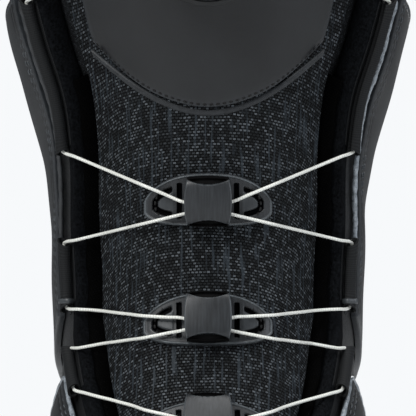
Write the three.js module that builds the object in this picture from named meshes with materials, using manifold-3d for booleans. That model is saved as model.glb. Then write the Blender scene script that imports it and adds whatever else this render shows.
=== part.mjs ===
// A left snowboard boot with a steel lace and one reel dial on its tongue.
// Millimetres, +Z up, toe towards -Y, wearer's left (the outer side) towards +X.
// The origin is on the floor, under the middle of the boot.
//
// Every sewn or padded layer is a sheet lofted over one form, the last. A place on the last has a station s
// (0 at the toe's tip, 17 near the top of the tongue) and a turn in degrees (0 on the front centre line,
// +90 on the outer side, 180 at the back or under the foot). A lift is a height above that place.
import * as THREE from "three";
import Module from "manifold-3d";
import { mergeVertices } from "three/addons/utils/BufferGeometryUtils.js";

// ---- driving dimensions ---------------------------------------------------------------------------------
const LENGTH_SCALE = 1; // share of the 312 mm sole length that this size of boot has
const SHAFT_SCALE = 1; // share of the shaft height above the ankle
const WIDTH_SCALE = 1; // share of all half-widths of the last

const FIT_GAP = 0.5; // between layers that are sewn or glued face to face
const SEAM_TURN = 0.6; // degrees left open at a butted seam
const SKIN = 2.2; // shell upper
const OVERLAY = 2.2; // panels sewn on the shell upper
const PADDING = 4.6; // foam lining inside the shaft
const LINER_WALL = 6.4; // inner boot
const TONGUE_CROWN = 2.5; // how far the tongue's middle stands out of the last
const TONGUE_FLOOR = -PADDING - FIT_GAP - 0.2; // inner face of the tongue, level with the linings
const THROAT_TURN = 50.5; // half-opening of the shaft's front, degrees
const TONGUE_CLEARANCE_TURN = 4; // degrees between the tongue's edge and the opening's edge

const LACE_RADIUS = 0.6;
const TUBE_RADIUS = 2.1; // woven lace tunnels along the opening
const TUBE_BORE = 1.6;
const TUBE_TURN = 2.8; // degrees from the opening's edge to a tunnel's middle
const OVERLAY_EDGE_TURN = 6.4; // degrees from the opening's edge to the overlays

const GUIDE_HALF = 19.5; // crossing guides on the tongue: half-width and half-height of the flange
const GUIDE_HALF_HEIGHT = 8.8;
const FLANGE = 1.8;
const BRIDGE_HALF = 7.6; // the cover that the two strands cross under
const BRIDGE_HALF_HEIGHT = 8.2;
const BRIDGE_ROOF = 2;
const TUNNEL_DEPTH = 3.6;
const TUNNEL_HALF_HEIGHT = 5.2;
const STRAND_SPREAD = 2.1; // half the distance between the two strands where they enter a guide
const STRAND_DROP = 2.2; // how far the strands' middle is below the guide's middle

const DIAL_STATION = 16.15;
const DIAL_RADIUS = 15; // reel housing
const DIAL_WALL = 1.8;
const HOUSING_HEIGHT = 8.5;
const AXLE_RADIUS = 2.6;
const RUNNING_GAP = 0.4;
const DOG_COUNT = 8; // drive teeth between the knob's disc and the spool

const SOLE_RIM = 33; // top of the midsole's rim
const MIDSOLE_FOOT = 8; // underside of the midsole
const LUG = 4.2;
const TOE_SPRING = 7; // how far the toe's tip curls up from the floor
const SPRING_START = -70;

// ---- small helpers --------------------------------------------------------------------------------------
const wasm = await Module();
wasm.setup();

const RAD = Math.PI / 180;
const mix = (a, b, t) => a + (b - a) * t;
const clamp01 = (t) => Math.min(1, Math.max(0, t));
const smooth = (lo, hi, t) => {
  const c = clamp01((t - lo) / (hi - lo));
  return c * c * (3 - 2 * c);
};
const valueOf = (v, ...at) => (typeof v === "function" ? v(...at) : v);
const vec = (x, y, z) => new THREE.Vector3(x, y, z);

// ---- the last -------------------------------------------------------------------------------------------
// One row for each station: the section's front or top point (y, z), its back or bottom point (y, z),
// its half-width near each of those, the shift of its middle towards the big toe, how square its front and
// back are (2 is an ellipse), and where along it the section is widest.
const STATIONS = [
  [-150, 41, -150, 41, 0, 0, -7, 2.4, 3.0, 0.6],
  [-147, 60, -147, 29, 24, 24, -7, 2.4, 3.0, 0.6],
  [-139, 71, -140, 27, 36, 36, -6, 2.4, 3.4, 0.62],
  [-126, 80, -127, 26.5, 45, 45, -5, 2.4, 4.0, 0.62],
  [-108, 87, -109, 26, 51, 51, -3, 2.4, 4.0, 0.62],
  [-86, 94, -84, 26, 54, 54, -1, 2.3, 4.0, 0.62],
  [-64, 105, -54, 26.5, 53, 52, 0, 2.2, 4.0, 0.6],
  [-46, 121, -18, 27, 51.5, 48.5, 0, 2.2, 3.8, 0.57],
  [-32, 140, 28, 28, 51.5, 48, 0, 2.2, 3.4, 0.53],
  [-24, 160, 76, 28.5, 52, 48, 0, 2.3, 3.0, 0.49],
  [-20, 180, 119, 30, 51.5, 47, 0, 2.3, 2.9, 0.46],
  [-19, 199, 146.5, 52, 51.6, 45.8, 0, 2.4, 2.5, 0.45],
  [-21, 218, 148.5, 94, 53.3, 45.8, 0, 2.4, 2.3, 0.45],
  [-24, 236, 139, 136, 53.2, 46.2, 0, 2.4, 2.3, 0.45],
  [-28, 253, 131, 176, 55.8, 48.8, 0, 2.4, 2.3, 0.45],
  [-32, 270, 126, 216, 63.1, 56.1, 0, 2.4, 2.3, 0.45],
  [-36, 286, 123, 252, 68.3, 61.3, 0, 2.4, 2.3, 0.45],
  [-40, 304, 121, 282, 69.6, 62.6, 0, 2.4, 2.3, 0.45],
  [-44, 322, 120, 308, 69.6, 62.6, 0, 2.4, 2.3, 0.45],
];
const ANKLE_HEIGHT = 150;

// Row beyond the toe's tip, so that the rows run smoothly over the tip as over a pole.
const tip = STATIONS[1];
const BEYOND_TIP = [tip[2], tip[3], tip[0], tip[1], -tip[4], -tip[5], ...tip.slice(6)];

function stationAt(s) {
  const last = STATIONS.length - 1;
  const i = Math.min(Math.max(Math.floor(s), 0), last - 1);
  const t = s - i;
  const row = (k) => (k < 0 ? BEYOND_TIP : STATIONS[Math.min(k, last)]);
  const [a, b, c, d] = [row(i - 1), row(i), row(i + 1), row(i + 2)];
  return b.map((_, k) => {
    const [p, q, r, w] = [a[k], b[k], c[k], d[k]];
    const bend = 2 * p - 5 * q + 4 * r - w;
    return q + 0.5 * t * (r - p + t * (bend + t * (3 * (q - r) + w - p)));
  });
}

const toeSpring = (y) => {
  const past = clamp01((SPRING_START * LENGTH_SCALE - y) / (86 * LENGTH_SCALE));
  return TOE_SPRING * past * past;
};
const sized = (p) => {
  const y = p.y * LENGTH_SCALE;
  const shaft = Math.max(0, p.z - ANKLE_HEIGHT);
  return vec(p.x, y, p.z + shaft * (SHAFT_SCALE - 1) + toeSpring(y));
};

// The bare form, before lifts.
function form(s, turn) {
  const [fy, fz, by, bz, wf, wb, shift, nf, nb, widest] = stationAt(s);
  const [sin, cos] = [Math.sin(turn * RAD), Math.cos(turn * RAD)];
  const frontness = (1 + cos) / 2;
  const n = mix(nb, nf, frontness);
  const reach = (Math.abs(sin) ** n + Math.abs(cos) ** n) ** (-1 / n);
  const [cy, cz] = [mix(fy, by, widest), mix(fz, bz, widest)];
  const q = cos * reach;
  const [ey, ez] = q > 0 ? [fy, fz] : [by, bz];
  const x = shift + mix(wb, wf, frontness) * WIDTH_SCALE * sin * reach;
  return sized(vec(x, mix(cy, ey, Math.abs(q)), mix(cz, ez, Math.abs(q))));
}

const NUDGE_S = 0.02;
const NUDGE_TURN = 0.5;
function frameAt(s, turn, lift = 0) {
  const at = Math.max(s, NUDGE_S * 1.5);
  const up = form(at + NUDGE_S, turn).sub(form(at - NUDGE_S, turn));
  const round = form(at, turn + NUDGE_TURN).sub(form(at, turn - NUDGE_TURN));
  const out = round.clone().cross(up).normalize();
  const place = form(s, turn).addScaledVector(out, lift);
  const rise = up.length() / (2 * NUDGE_S); // millimetres of surface for each station
  return { place, out, up: up.normalize(), round: round.normalize(), rise };
}
const onLast = (s, turn, lift = 0) => frameAt(s, turn, lift).place;

// ---- closed solids --------------------------------------------------------------------------------------
function geometryOf(positions, faces) {
  const g = new THREE.BufferGeometry();
  g.setAttribute("position", new THREE.Float32BufferAttribute(positions, 3));
  g.setIndex(faces);
  return g;
}

function solidOf(geometry) {
  const bare = geometry.clone();
  bare.deleteAttribute("normal");
  bare.deleteAttribute("uv");
  const merged = mergeVertices(bare, 1e-4);
  const mesh = new wasm.Mesh({
    numProp: 3,
    vertProperties: merged.attributes.position.array,
    triVerts: new Uint32Array(merged.index.array),
  });
  return new wasm.Manifold(mesh);
}

function geometryFrom(solid) {
  const mesh = solid.getMesh();
  return geometryOf(Array.from(mesh.vertProperties), Array.from(mesh.triVerts));
}

const cutFrom = (geometry, ...tools) =>
  geometryFrom(tools.reduce((solid, tool) => solid.subtract(solidOf(tool)), solidOf(geometry)));
const joined = (...pieces) =>
  geometryFrom(pieces.slice(1).reduce((sum, piece) => sum.add(solidOf(piece)), solidOf(pieces[0])));

// A closed sheet between two grids of points, outer[row][column] and inner[row][column]. Rows that shrink to
// a point, and a ring's last column, share their vertices.
function sheet(outer, inner, ring = false) {
  const keys = new Map();
  const positions = [];
  const index = (p) => {
    const key = [p.x, p.y, p.z].map((c) => Math.round(c * 1e4)).join();
    if (!keys.has(key)) {
      keys.set(key, positions.length / 3);
      positions.push(p.x, p.y, p.z);
    }
    return keys.get(key);
  };
  const [a, b] = [outer, inner].map((grid) => grid.map((row) => row.map(index)));
  const faces = [];
  const quad = (p, q, r, w) => {
    for (const [i, j, k] of [
      [p, q, r],
      [p, r, w],
    ])
      if (i !== j && j !== k && k !== i) faces.push(i, j, k);
  };
  const [rows, columns] = [outer.length - 1, outer[0].length - 1];
  for (let j = 0; j < rows; j++)
    for (let i = 0; i < columns; i++) {
      quad(a[j][i], a[j][i + 1], a[j + 1][i + 1], a[j + 1][i]);
      quad(b[j][i], b[j + 1][i], b[j + 1][i + 1], b[j][i + 1]);
    }
  for (let i = 0; i < columns; i++) {
    quad(a[0][i], b[0][i], b[0][i + 1], a[0][i + 1]);
    quad(a[rows][i + 1], b[rows][i + 1], b[rows][i], a[rows][i]);
  }
  for (let j = 0; !ring && j < rows; j++) {
    quad(a[j][0], a[j + 1][0], b[j + 1][0], b[j][0]);
    quad(a[j][columns], b[j][columns], b[j + 1][columns], a[j + 1][columns]);
  }
  return geometryOf(positions, faces);
}

// Layers take their rows and columns from one lattice, so that nested layers bend at the same places.
const TOE_ROWS = [0.25, 0.5, 1, 2, 3, 4, 5];
const ANKLE_ROWS = [5.5, 6, 6.5, 7, 7.5, 8, 8.5, 9, 9.5, 10, 10.5, 11, 11.5, 12];
const SHAFT_ROWS = [13, 14, 15, 16, 17];
const ROWS = [...TOE_ROWS, ...ANKLE_ROWS, ...SHAFT_ROWS];
const COLUMN = 15; // degrees
const SNAP = 0.35; // share of a cell nearer than which a lattice line joins the piece's edge

// The lattice lines of a piece, where its ends are at their furthest.
function within(lines, [lo, hi]) {
  return [lo, ...lines.filter((line) => line > lo && line < hi), hi];
}
function snapped(line, cell, lo, hi) {
  if (line < lo + SNAP * cell) return lo;
  return line > hi - SNAP * cell ? hi : line;
}

// A sheet on the last. Either the station's ends or the turn's ends may follow the other one.
function patch({ s, turn, lift }) {
  const samples = Array.from({ length: 61 }, (_, i) => i / 60);
  const stationsFollowTurn = s.some((end) => typeof end === "function");
  const free = stationsFollowTurn ? turn : s;
  const bound = stationsFollowTurn ? s : turn;
  const reach = [0, 1].map((end) => {
    const values = samples.map((t) => valueOf(bound[end], mix(...free, t)));
    return end ? Math.max(...values) : Math.min(...values);
  });
  const columnLines = Array.from({ length: 61 }, (_, k) => (k - 30) * COLUMN);
  const stationLines = within(ROWS, stationsFollowTurn ? reach : s);
  const turnLines = within(columnLines, stationsFollowTurn ? turn : reach);
  const ring = !stationsFollowTurn && turn[1] - turn[0] === 360;
  const cell = (lines, i) => lines[Math.min(i + 1, lines.length - 1)] - lines[Math.max(i - 1, 0)];
  const grid = (lift) =>
    stationLines.map((line, j) =>
      turnLines.map((angle, i) => {
        const s0 = stationsFollowTurn ? 0 : snapped(line, cell(stationLines, j) / 2, ...s);
        const turned = stationsFollowTurn
          ? snapped(angle, COLUMN, ...turn)
          : snapped(angle, COLUMN, valueOf(turn[0], s0), valueOf(turn[1], s0));
        const at = stationsFollowTurn
          ? snapped(line, cell(stationLines, j) / 2, valueOf(s[0], turned), valueOf(s[1], turned))
          : s0;
        const closing = ring && i === turnLines.length - 1;
        return onLast(at, closing ? turned - 360 : turned, valueOf(lift, at, turned));
      }),
    );
  return sheet(grid(lift[1]), grid(lift[0]), ring);
}

// A closed solid through rings of points, with a fan over each end.
function loft(rings) {
  const sides = rings[0].length;
  const middle = (ring) => ring.reduce((sum, p) => sum.add(p), vec(0, 0, 0)).divideScalar(sides);
  const positions = [];
  const push = (p) => positions.push(p.x, p.y, p.z) / 3 - 1;
  const bottom = push(middle(rings[0]));
  const ids = rings.map((ring) => ring.map(push));
  const top = push(middle(rings[rings.length - 1]));
  const faces = [];
  for (let k = 0; k < sides; k++) {
    const next = (k + 1) % sides;
    faces.push(bottom, ids[0][next], ids[0][k]);
    faces.push(top, ids[ids.length - 1][k], ids[ids.length - 1][next]);
    for (let j = 0; j < ids.length - 1; j++) {
      const [p, q, r, w] = [ids[j][k], ids[j][next], ids[j + 1][next], ids[j + 1][k]];
      faces.push(p, q, r, p, r, w);
    }
  }
  return geometryOf(positions, faces);
}

// A round tube or cord along a list of points; with a bore it is open at both ends.
function sweep(points, radius, sides, bore = 0) {
  const legs = points.slice(1).map((p, i) => p.clone().sub(points[i]).normalize());
  const tangents = points.map((_, i) => {
    const [before, after] = [legs[Math.max(i - 1, 0)], legs[Math.min(i, legs.length - 1)]];
    return before.clone().add(after).normalize();
  });
  let side = vec(0, 0, 1).cross(tangents[0]);
  if (side.length() < 0.1) side = vec(1, 0, 0).cross(tangents[0]);
  const frames = points.map((p, i) => {
    side = side.clone().addScaledVector(tangents[i], -side.dot(tangents[i])).normalize();
    return { p, u: side, v: tangents[i].clone().cross(side) };
  });
  const ringsOf = (r) =>
    frames.map(({ p, u, v }) =>
      Array.from({ length: sides }, (_, k) => {
        const angle = (k / sides) * 2 * Math.PI;
        return p.clone().addScaledVector(u, r * Math.cos(angle)).addScaledVector(v, r * Math.sin(angle));
      }),
    );
  if (!bore) return loft(ringsOf(radius));
  const closed = (rings) => rings.map((ring) => [...ring, ring[0]]);
  return sheet(closed(ringsOf(radius)), closed(ringsOf(bore)), true);
}

// A flat shape in XY, pushed up from z = from to z = to.
function plate(shape, from, to, curveSegments = 6) {
  const g = new THREE.ExtrudeGeometry(shape, { depth: to - from, bevelEnabled: false, curveSegments });
  return g.translate(0, 0, from);
}

const box = (width, length, height, x, y, z) =>
  new THREE.BoxGeometry(width, length, height).translate(x, y, z);

// Turns a piece made round or along +Z into the frame of a place on the last.
function placed(geometry, { place, out, up }) {
  const right = up.clone().cross(out).normalize();
  const basis = new THREE.Matrix4().makeBasis(right, up, out);
  return geometry.applyMatrix4(basis).translate(place.x, place.y, place.z);
}

// ---- the opening down the front, and lifts that several pieces share ------------------------------------
const THROAT_END = 6.15; // station where the opening ends on the vamp
const throatTurn = (s) => mix(8, THROAT_TURN, Math.sqrt(clamp01((s - THROAT_END) / 4.2)));
const tongueTurn = (s) => throatTurn(s) - TONGUE_CLEARANCE_TURN * smooth(THROAT_END - 0.2, 8, s) - 1.2;
const tongueFace = (s, turn) => mix(TONGUE_CROWN, -3, smooth(16, 46, Math.abs(turn)));
const SHELL_TOP = 16;
const TUCK_TURN = 150; // the upper is lasted under the foot as far as this
const underTurn = (s) => mix(TUCK_TURN, 180 - SEAM_TURN, clamp01(s - 9.5));
const linerFace = (s) => mix(-0.8, TONGUE_FLOOR - 0.8, smooth(3.4, 5.4, s));
const overlayLift = [SKIN + FIT_GAP, SKIN + FIT_GAP + OVERLAY];

// ---- the sole unit --------------------------------------------------------------------------------------
// Plan outline of the midsole: y, the inner side's x, the outer side's x.
const SOLE_ROWS = [
  [-156, -18, 6],
  [-152, -34, 17],
  [-146, -42, 25],
  [-136, -49, 36],
  [-120, -55, 46],
  [-100, -58.5, 54],
  [-80, -58.5, 58],
  [-55, -57, 59],
  [-30, -53.5, 57],
  [0, -49, 53],
  [30, -47, 50],
  [60, -46.5, 48],
  [90, -46, 47],
  [112, -44, 44.5],
  [128, -39, 39.5],
  [140, -31, 31.5],
  [149, -21, 21],
  [156, -8, 8],
].map(([y, inner, outer]) => [y * LENGTH_SCALE, inner * WIDTH_SCALE, outer * WIDTH_SCALE]);

function soleRow(y) {
  const k = Math.min(Math.max(SOLE_ROWS.findIndex((row) => row[0] >= y), 1), SOLE_ROWS.length - 1);
  const [a, b] = [SOLE_ROWS[k - 1], SOLE_ROWS[k]];
  const t = (y - a[0]) / (b[0] - a[0]);
  return a.map((value, i) => mix(value, b[i], t));
}
// A solid with the sole's outline from y = from to y = to; the section is a list of [inset, height] from its
// top down to its underside.
function soleBlock(from, to, section) {
  const inside = SOLE_ROWS.filter(([y]) => y > from + 1 && y < to - 1);
  const rings = [soleRow(from), ...inside, soleRow(to)].map(([y, inner, outer]) => {
    const at = (x, height) => vec(x, y, height + toeSpring(y));
    const right = section.map(([inset, height]) => at(outer - inset, height));
    const left = section.map(([inset, height]) => at(inner + inset, height));
    return [...right, ...left.reverse()];
  });
  return loft(rings);
}

// The whole last as one solid, to hollow out what the upper sits in.
function bootForm(lift) {
  const ring = (s) => Array.from({ length: 360 / COLUMN }, (_, i) => onLast(s, i * COLUMN, lift));
  return loft(ROWS.filter((s) => s <= 12).map(ring));
}

const POCKET_TOP = 23.4; // the midsole's bed under the lasting board
const SHANK = { width: 30, length: 112, depth: 2, y: 8 };
const GEL = { radius: 20, stretch: 1.3, depth: 7, y: 105 };
const POCKET_GAP = 0.3;

const roundPad = (radius, stretch, height) =>
  new THREE.CylinderGeometry(radius, radius, height, 20).rotateX(Math.PI / 2).scale(1, stretch, 1);

function midsole() {
  const block = soleBlock(-156 * LENGTH_SCALE, 156 * LENGTH_SCALE, [
    [1.5, SOLE_RIM],
    [0, mix(MIDSOLE_FOOT, SOLE_RIM, 0.4)],
    [2, MIDSOLE_FOOT],
  ]);
  const over = 8; // the pockets' cutters reach this far above the bed
  const pocket = (depth) => POCKET_TOP - depth - 2 * POCKET_GAP;
  const shankPocket = box(
    SHANK.width + 2 * POCKET_GAP,
    SHANK.length + 2 * POCKET_GAP,
    SHANK.depth + over,
    0,
    SHANK.y,
    pocket(SHANK.depth) + (SHANK.depth + over) / 2,
  );
  const gelPocket = roundPad(GEL.radius + POCKET_GAP, GEL.stretch, GEL.depth + over).translate(
    0,
    GEL.y,
    pocket(GEL.depth) + (GEL.depth + over) / 2,
  );
  return cutFrom(block, bootForm(SKIN + FIT_GAP), shankPocket, gelPocket);
}
const shank = () =>
  box(SHANK.width, SHANK.length, SHANK.depth, 0, SHANK.y, POCKET_TOP - SHANK.depth / 2 - POCKET_GAP);
const gelPad = () =>
  roundPad(GEL.radius, GEL.stretch, GEL.depth).translate(0, GEL.y, POCKET_TOP - GEL.depth / 2 - POCKET_GAP);

// Tread units: a plate with lugs under it, cut to the sole's outline.
const TREAD_TOP = MIDSOLE_FOOT - POCKET_GAP;
const TREAD_INSET = 2.2;
const LUG_PITCH = { x: 24, y: 18 };
const GROOVE = 5;
function tread(from, to) {
  const grooves = [-1.5, -0.5, 0.5, 1.5].map((k) =>
    box(GROOVE, 2 * (to - from), 2 * LUG, k * LUG_PITCH.x, (from + to) / 2, 0),
  );
  const rows = Math.floor((to - from - 8) / LUG_PITCH.y);
  for (let j = 0; j < rows; j++) {
    const y = (from + to) / 2 + (j - (rows - 1) / 2) * LUG_PITCH.y;
    grooves.push(box(200, GROOVE, 2 * LUG, 0, y, toeSpring(y)));
  }
  const block = soleBlock(from, to, [
    [TREAD_INSET, TREAD_TOP],
    [TREAD_INSET + 2, 0],
  ]);
  return cutFrom(block, ...grooves);
}

// ---- the upper ------------------------------------------------------------------------------------------
const VAMP_SEAM = 6;
const mirrored = (lo, hi) => [(s) => -valueOf(hi, s), (s) => -valueOf(lo, s)];
const sided = (side, lo, hi) => (side > 0 ? [lo, hi] : mirrored(lo, hi));
const sidedTurn = (side, lo, hi) => (side > 0 ? [lo, hi] : [-hi, -lo]);

const vamp = () =>
  patch({ s: [0, VAMP_SEAM - 0.03], turn: [-TUCK_TURN, TUCK_TURN], lift: [0, SKIN] });
const quarter = (side) =>
  patch({
    s: [VAMP_SEAM + 0.03, SHELL_TOP],
    turn: sided(side, (s) => throatTurn(s), underTurn),
    lift: [0, SKIN],
  });
const lastingBoard = () =>
  patch({ s: [1, 9], turn: [TUCK_TURN + 8, 352 - TUCK_TURN], lift: [0.1, 1.8] });
const PAD_TOP = SHELL_TOP + 0.15;
const lining = (side) =>
  patch({
    s: [7, PAD_TOP],
    turn: sided(side, (s) => throatTurn(s) + 1, (s) => mix(135, 178.5, clamp01((s - 9.5) / 1.5))),
    lift: [-FIT_GAP - PADDING, -FIT_GAP - 0.15],
  });

// Rubber toe bumper, heel counter, side panels and cuff panels, sewn over the shell.
const TOE_CAP_TURN = 114;
const toeCap = () =>
  patch({
    s: [0, (turn) => 2.5 + 0.9 * smooth(30, 100, Math.abs(turn))],
    turn: [-TOE_CAP_TURN, TOE_CAP_TURN],
    lift: overlayLift,
  });
const COUNTER_TURN = 112;
const counterFoot = (turn) => mix(9.4, 10.6, smooth(COUNTER_TURN, 176, Math.abs(turn)));
const heelCounter = () =>
  patch({
    s: [
      (turn) => counterFoot(180 - Math.abs(180 - turn)),
      (turn) => mix(10.2, 12.1, smooth(COUNTER_TURN, 172, 180 - Math.abs(180 - turn))),
    ],
    turn: [COUNTER_TURN, 360 - COUNTER_TURN],
    lift: [SKIN + 0.9, SKIN + 0.9 + OVERLAY],
  });
const SIDE_PANEL = { foot: 6.8, top: 9.6, footTurn: 84, topTurn: 104 };
const SIDE_PANEL_CLEARANCE = 0.4; // the shell bends most here
const sidePanel = (side) => {
  const { foot, top, footTurn, topTurn } = SIDE_PANEL;
  const rear = (s) => mix(footTurn, topTurn, smooth(foot, top, s));
  return patch({
    s: [foot, top],
    turn: sided(side, (s) => throatTurn(s) + OVERLAY_EDGE_TURN, rear),
    lift: overlayLift.map((lift) => lift + SIDE_PANEL_CLEARANCE),
  });
};
const CUFF_FOOT = 11.1;
const CUFF_TURN = 150;
const PIPING = { radius: 1.2, turn: 8.6, top: 15.8, foot: 11.1 };
const cuffPanel = (side) =>
  patch({
    s: [(turn) => mix(CUFF_FOOT, 12.5, smooth(60, CUFF_TURN, Math.abs(turn))), SHELL_TOP - 0.1],
    turn: sidedTurn(side, THROAT_TURN + PIPING.turn + 2.4, CUFF_TURN),
    lift: overlayLift,
  });
// A rolled trim that the cuff panel's front edge is finished with.
function cuffPiping(side) {
  const steps = 12;
  const axis = Array.from({ length: steps + 1 }, (_, j) => {
    const s = mix(PIPING.top, PIPING.foot, j / steps);
    return onLast(s, side * (throatTurn(s) + PIPING.turn), SKIN + PIPING.radius + 0.5);
  });
  return sweep(axis, PIPING.radius, 6);
}
const backstay = () =>
  patch({ s: [12.45, SHELL_TOP + 0.1], turn: [CUFF_TURN + 4, 360 - CUFF_TURN - 4], lift: overlayLift });

// A webbing loop down the back, standing off its strip so that a finger goes through.
const LOOP = { half: 10, foot: 13.6, head: 15.5, arch: 12, thickness: 2.2 };
function heelLoop() {
  const foot = SKIN + OVERLAY + 2 * FIT_GAP;
  const share = (s) => clamp01((s - LOOP.foot) / (LOOP.head - LOOP.foot));
  const rise = (s) => LOOP.arch * Math.sin(Math.PI * share(s)) ** 0.7;
  const half = LOOP.half / 62 / RAD;
  const lift = (extra) => (s) => foot + extra + rise(s);
  return patch({
    s: [LOOP.foot, LOOP.head],
    turn: [180 - half, 180 + half],
    lift: [lift(0), lift(LOOP.thickness)],
  });
}

// ---- the tongue -----------------------------------------------------------------------------------------
const TONGUE_FOOT = THROAT_END + 0.2;
const TONGUE_TOP = 17.3;
const mirroredPair = (edge) => [(s) => -edge(s), (s) => edge(s)];
const tongueLift = (above) => (s, turn) => tongueFace(s, turn) + above;
const tongue = () =>
  patch({
    s: [TONGUE_FOOT, TONGUE_TOP],
    turn: mirroredPair(tongueTurn),
    lift: [TONGUE_FLOOR, tongueLift(0)],
  });
const PATCH_TURN = 37;
const PATCH_FOOT = 13.1;
const PATCH_SKIN = 1.3;
const patchFoot = (turn) => PATCH_FOOT + 1.2 * (turn / 33) ** 2;
const tonguePatch = () =>
  patch({
    s: [patchFoot, TONGUE_TOP - 0.1],
    turn: [-PATCH_TURN, PATCH_TURN],
    lift: [tongueLift(0.3), tongueLift(0.3 + PATCH_SKIN)],
  });
const patchBinding = () =>
  patch({
    s: [(turn) => patchFoot(turn) - 0.2, (turn) => patchFoot(turn) - 0.03],
    turn: [-PATCH_TURN, PATCH_TURN],
    lift: [tongueLift(0.3), tongueLift(0.5 + PATCH_SKIN)],
  });
// The folded snow gusset that closes the gap between the tongue's edge and the shell.
const gusset = (side) =>
  patch({
    s: [7.4, 14.2],
    turn: sided(side, (s) => tongueTurn(s) + 0.8, (s) => throatTurn(s) + 0.4),
    lift: [TONGUE_FLOOR + 0.1, TONGUE_FLOOR + 0.9],
  });

// ---- crossing guides on the tongue ----------------------------------------------------------------------
const GUIDE_STATIONS = [11.47, 9.44, 7.75]; // from the top down

// The turn at which a station of the last is x from the middle.
function turnAtX(s, x) {
  let turn = (x / 50) * 60;
  for (let k = 0; k < 5; k++) {
    const slope = form(s, turn + 0.5).x - form(s, turn - 0.5).x;
    turn -= (form(s, turn).x - x) / slope;
  }
  return turn;
}
// A place on the tongue, x across and h up from a guide's middle.
function onTongue(station, x, h, above) {
  const s = station + h / frameAt(station, 0).rise;
  const turn = turnAtX(s, x);
  return onLast(s, turn, tongueFace(s, turn) + above);
}
// Top of whatever lies at a place on the front: the shell's edge, the patch or the tongue's cloth.
function topFace(s, turn) {
  if (Math.abs(turn) > throatTurn(s) - 3) return SKIN;
  const patched = Math.abs(turn) < PATCH_TURN + 2 && s > patchFoot(turn) - 0.3;
  return tongueFace(s, turn) + (patched ? PATCH_SKIN + 0.5 : 0);
}
// The point over the front that is x across and z high, and this far above what lies there.
function overFront(x, z, above) {
  let [s, turn] = [11, (x / 50) * 60];
  const at = () => onLast(s, turn, topFace(s, turn) + above);
  for (let k = 0; k < 12; k++) {
    s += (0.8 * (z - at().z)) / frameAt(s, turn).rise;
    turn += 0.8 * (x - at().x);
  }
  return at();
}
function guideFlange(station) {
  const [across, along] = [14, 2];
  const half = (x) => GUIDE_HALF_HEIGHT * (1 - (Math.abs(x) / (GUIDE_HALF + 1)) ** 2.4) ** 0.5;
  const grid = (above) =>
    Array.from({ length: along + 1 }, (_, j) =>
      Array.from({ length: across + 1 }, (_, i) => {
        const x = GUIDE_HALF * mix(-1, 1, i / across);
        return onTongue(station, x, half(x) * mix(-1, 1, j / along), above);
      }),
    );
  return sheet(grid(0.3 + FLANGE), grid(0.3));
}
// The cover is an arch over the two strands, open to both sides.
function guideBridge(station) {
  const roof = TUNNEL_DEPTH + BRIDGE_ROOF;
  const shape = new THREE.Shape();
  shape.moveTo(-BRIDGE_HALF_HEIGHT, 0);
  shape.lineTo(-TUNNEL_HALF_HEIGHT, 0);
  shape.lineTo(-TUNNEL_HALF_HEIGHT, TUNNEL_DEPTH);
  shape.lineTo(TUNNEL_HALF_HEIGHT, TUNNEL_DEPTH);
  shape.lineTo(TUNNEL_HALF_HEIGHT, 0);
  shape.lineTo(BRIDGE_HALF_HEIGHT, 0);
  shape.lineTo(BRIDGE_HALF_HEIGHT - 1, roof - 1.6);
  shape.quadraticCurveTo(0, roof + 1.8, -BRIDGE_HALF_HEIGHT + 1, roof - 1.6);
  const g = new THREE.ExtrudeGeometry(shape, {
    depth: 2 * BRIDGE_HALF,
    bevelEnabled: false,
    curveSegments: 6,
  });
  // the profile is drawn up the tongue and out of it, and runs across it
  g.translate(0, 0, -BRIDGE_HALF).applyMatrix4(
    new THREE.Matrix4().makeBasis(vec(0, 1, 0), vec(0, 0, 1), vec(1, 0, 0)),
  );
  return placed(g, bridgeFrame(station));
}
// The bridge stands clear of the flange, which follows the tongue's bend.
function bridgeFrame(station) {
  const { place, out } = frameAt(station, 0);
  const rises = [-1, 0, 1].map((k) =>
    onTongue(station, 0, k * BRIDGE_HALF_HEIGHT, 0.3 + FLANGE).sub(place).dot(out),
  );
  return frameAt(station, 0, Math.max(...rises) + 0.3);
}

// ---- lace tunnels on the shell's edge -------------------------------------------------------------------
// Each pair's top and bottom station.
const TUBES = [
  [15.55, 13.35],
  [11.75, 10.95],
  [9.95, 9.2],
  [7.95, 7.3],
];
const TUBE_LIFT = SKIN + 0.7 + TUBE_RADIUS;
const tubeAxis = (side, [top, foot], steps) =>
  Array.from({ length: steps + 1 }, (_, j) => {
    const s = mix(top, foot, j / steps);
    return onLast(s, side * (throatTurn(s) + TUBE_TURN), TUBE_LIFT);
  });
const tubeSteps = ([top, foot]) => Math.ceil((top - foot) * 3.5);
const laceTube = (side, k) => sweep(tubeAxis(side, TUBES[k], tubeSteps(TUBES[k])), TUBE_RADIUS, 7, TUBE_BORE);

// The last guide, on the vamp at the foot of the opening: a saddle that the lace runs straight across.
const VAMP_GUIDE = { half: 15, halfHeight: 5, height: 6, station: 5.55 };
const vampGuideFrame = () => frameAt(VAMP_GUIDE.station, 0, SKIN + 0.9);
function vampGuide() {
  const { half, halfHeight, height } = VAMP_GUIDE;
  const body = new THREE.Shape();
  body.moveTo(-half, -1.2);
  body.lineTo(-half * 0.8, -0.4);
  body.lineTo(0, 0);
  body.lineTo(half * 0.8, -0.4);
  body.lineTo(half, -1.2);
  body.lineTo(half - 1, height - 1.6);
  body.quadraticCurveTo(0, height + 1, 1 - half, height - 1.6);
  const depth = 2 * halfHeight;
  const g = new THREE.ExtrudeGeometry(body, { depth, bevelEnabled: false, curveSegments: 4 });
  g.rotateX(Math.PI / 2).translate(0, halfHeight, 0);
  const bore = new THREE.CylinderGeometry(TUBE_BORE, TUBE_BORE, 4 * half, 10).rotateZ(Math.PI / 2);
  return placed(cutFrom(g, bore.translate(0, 0, height / 2)), vampGuideFrame());
}
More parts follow.
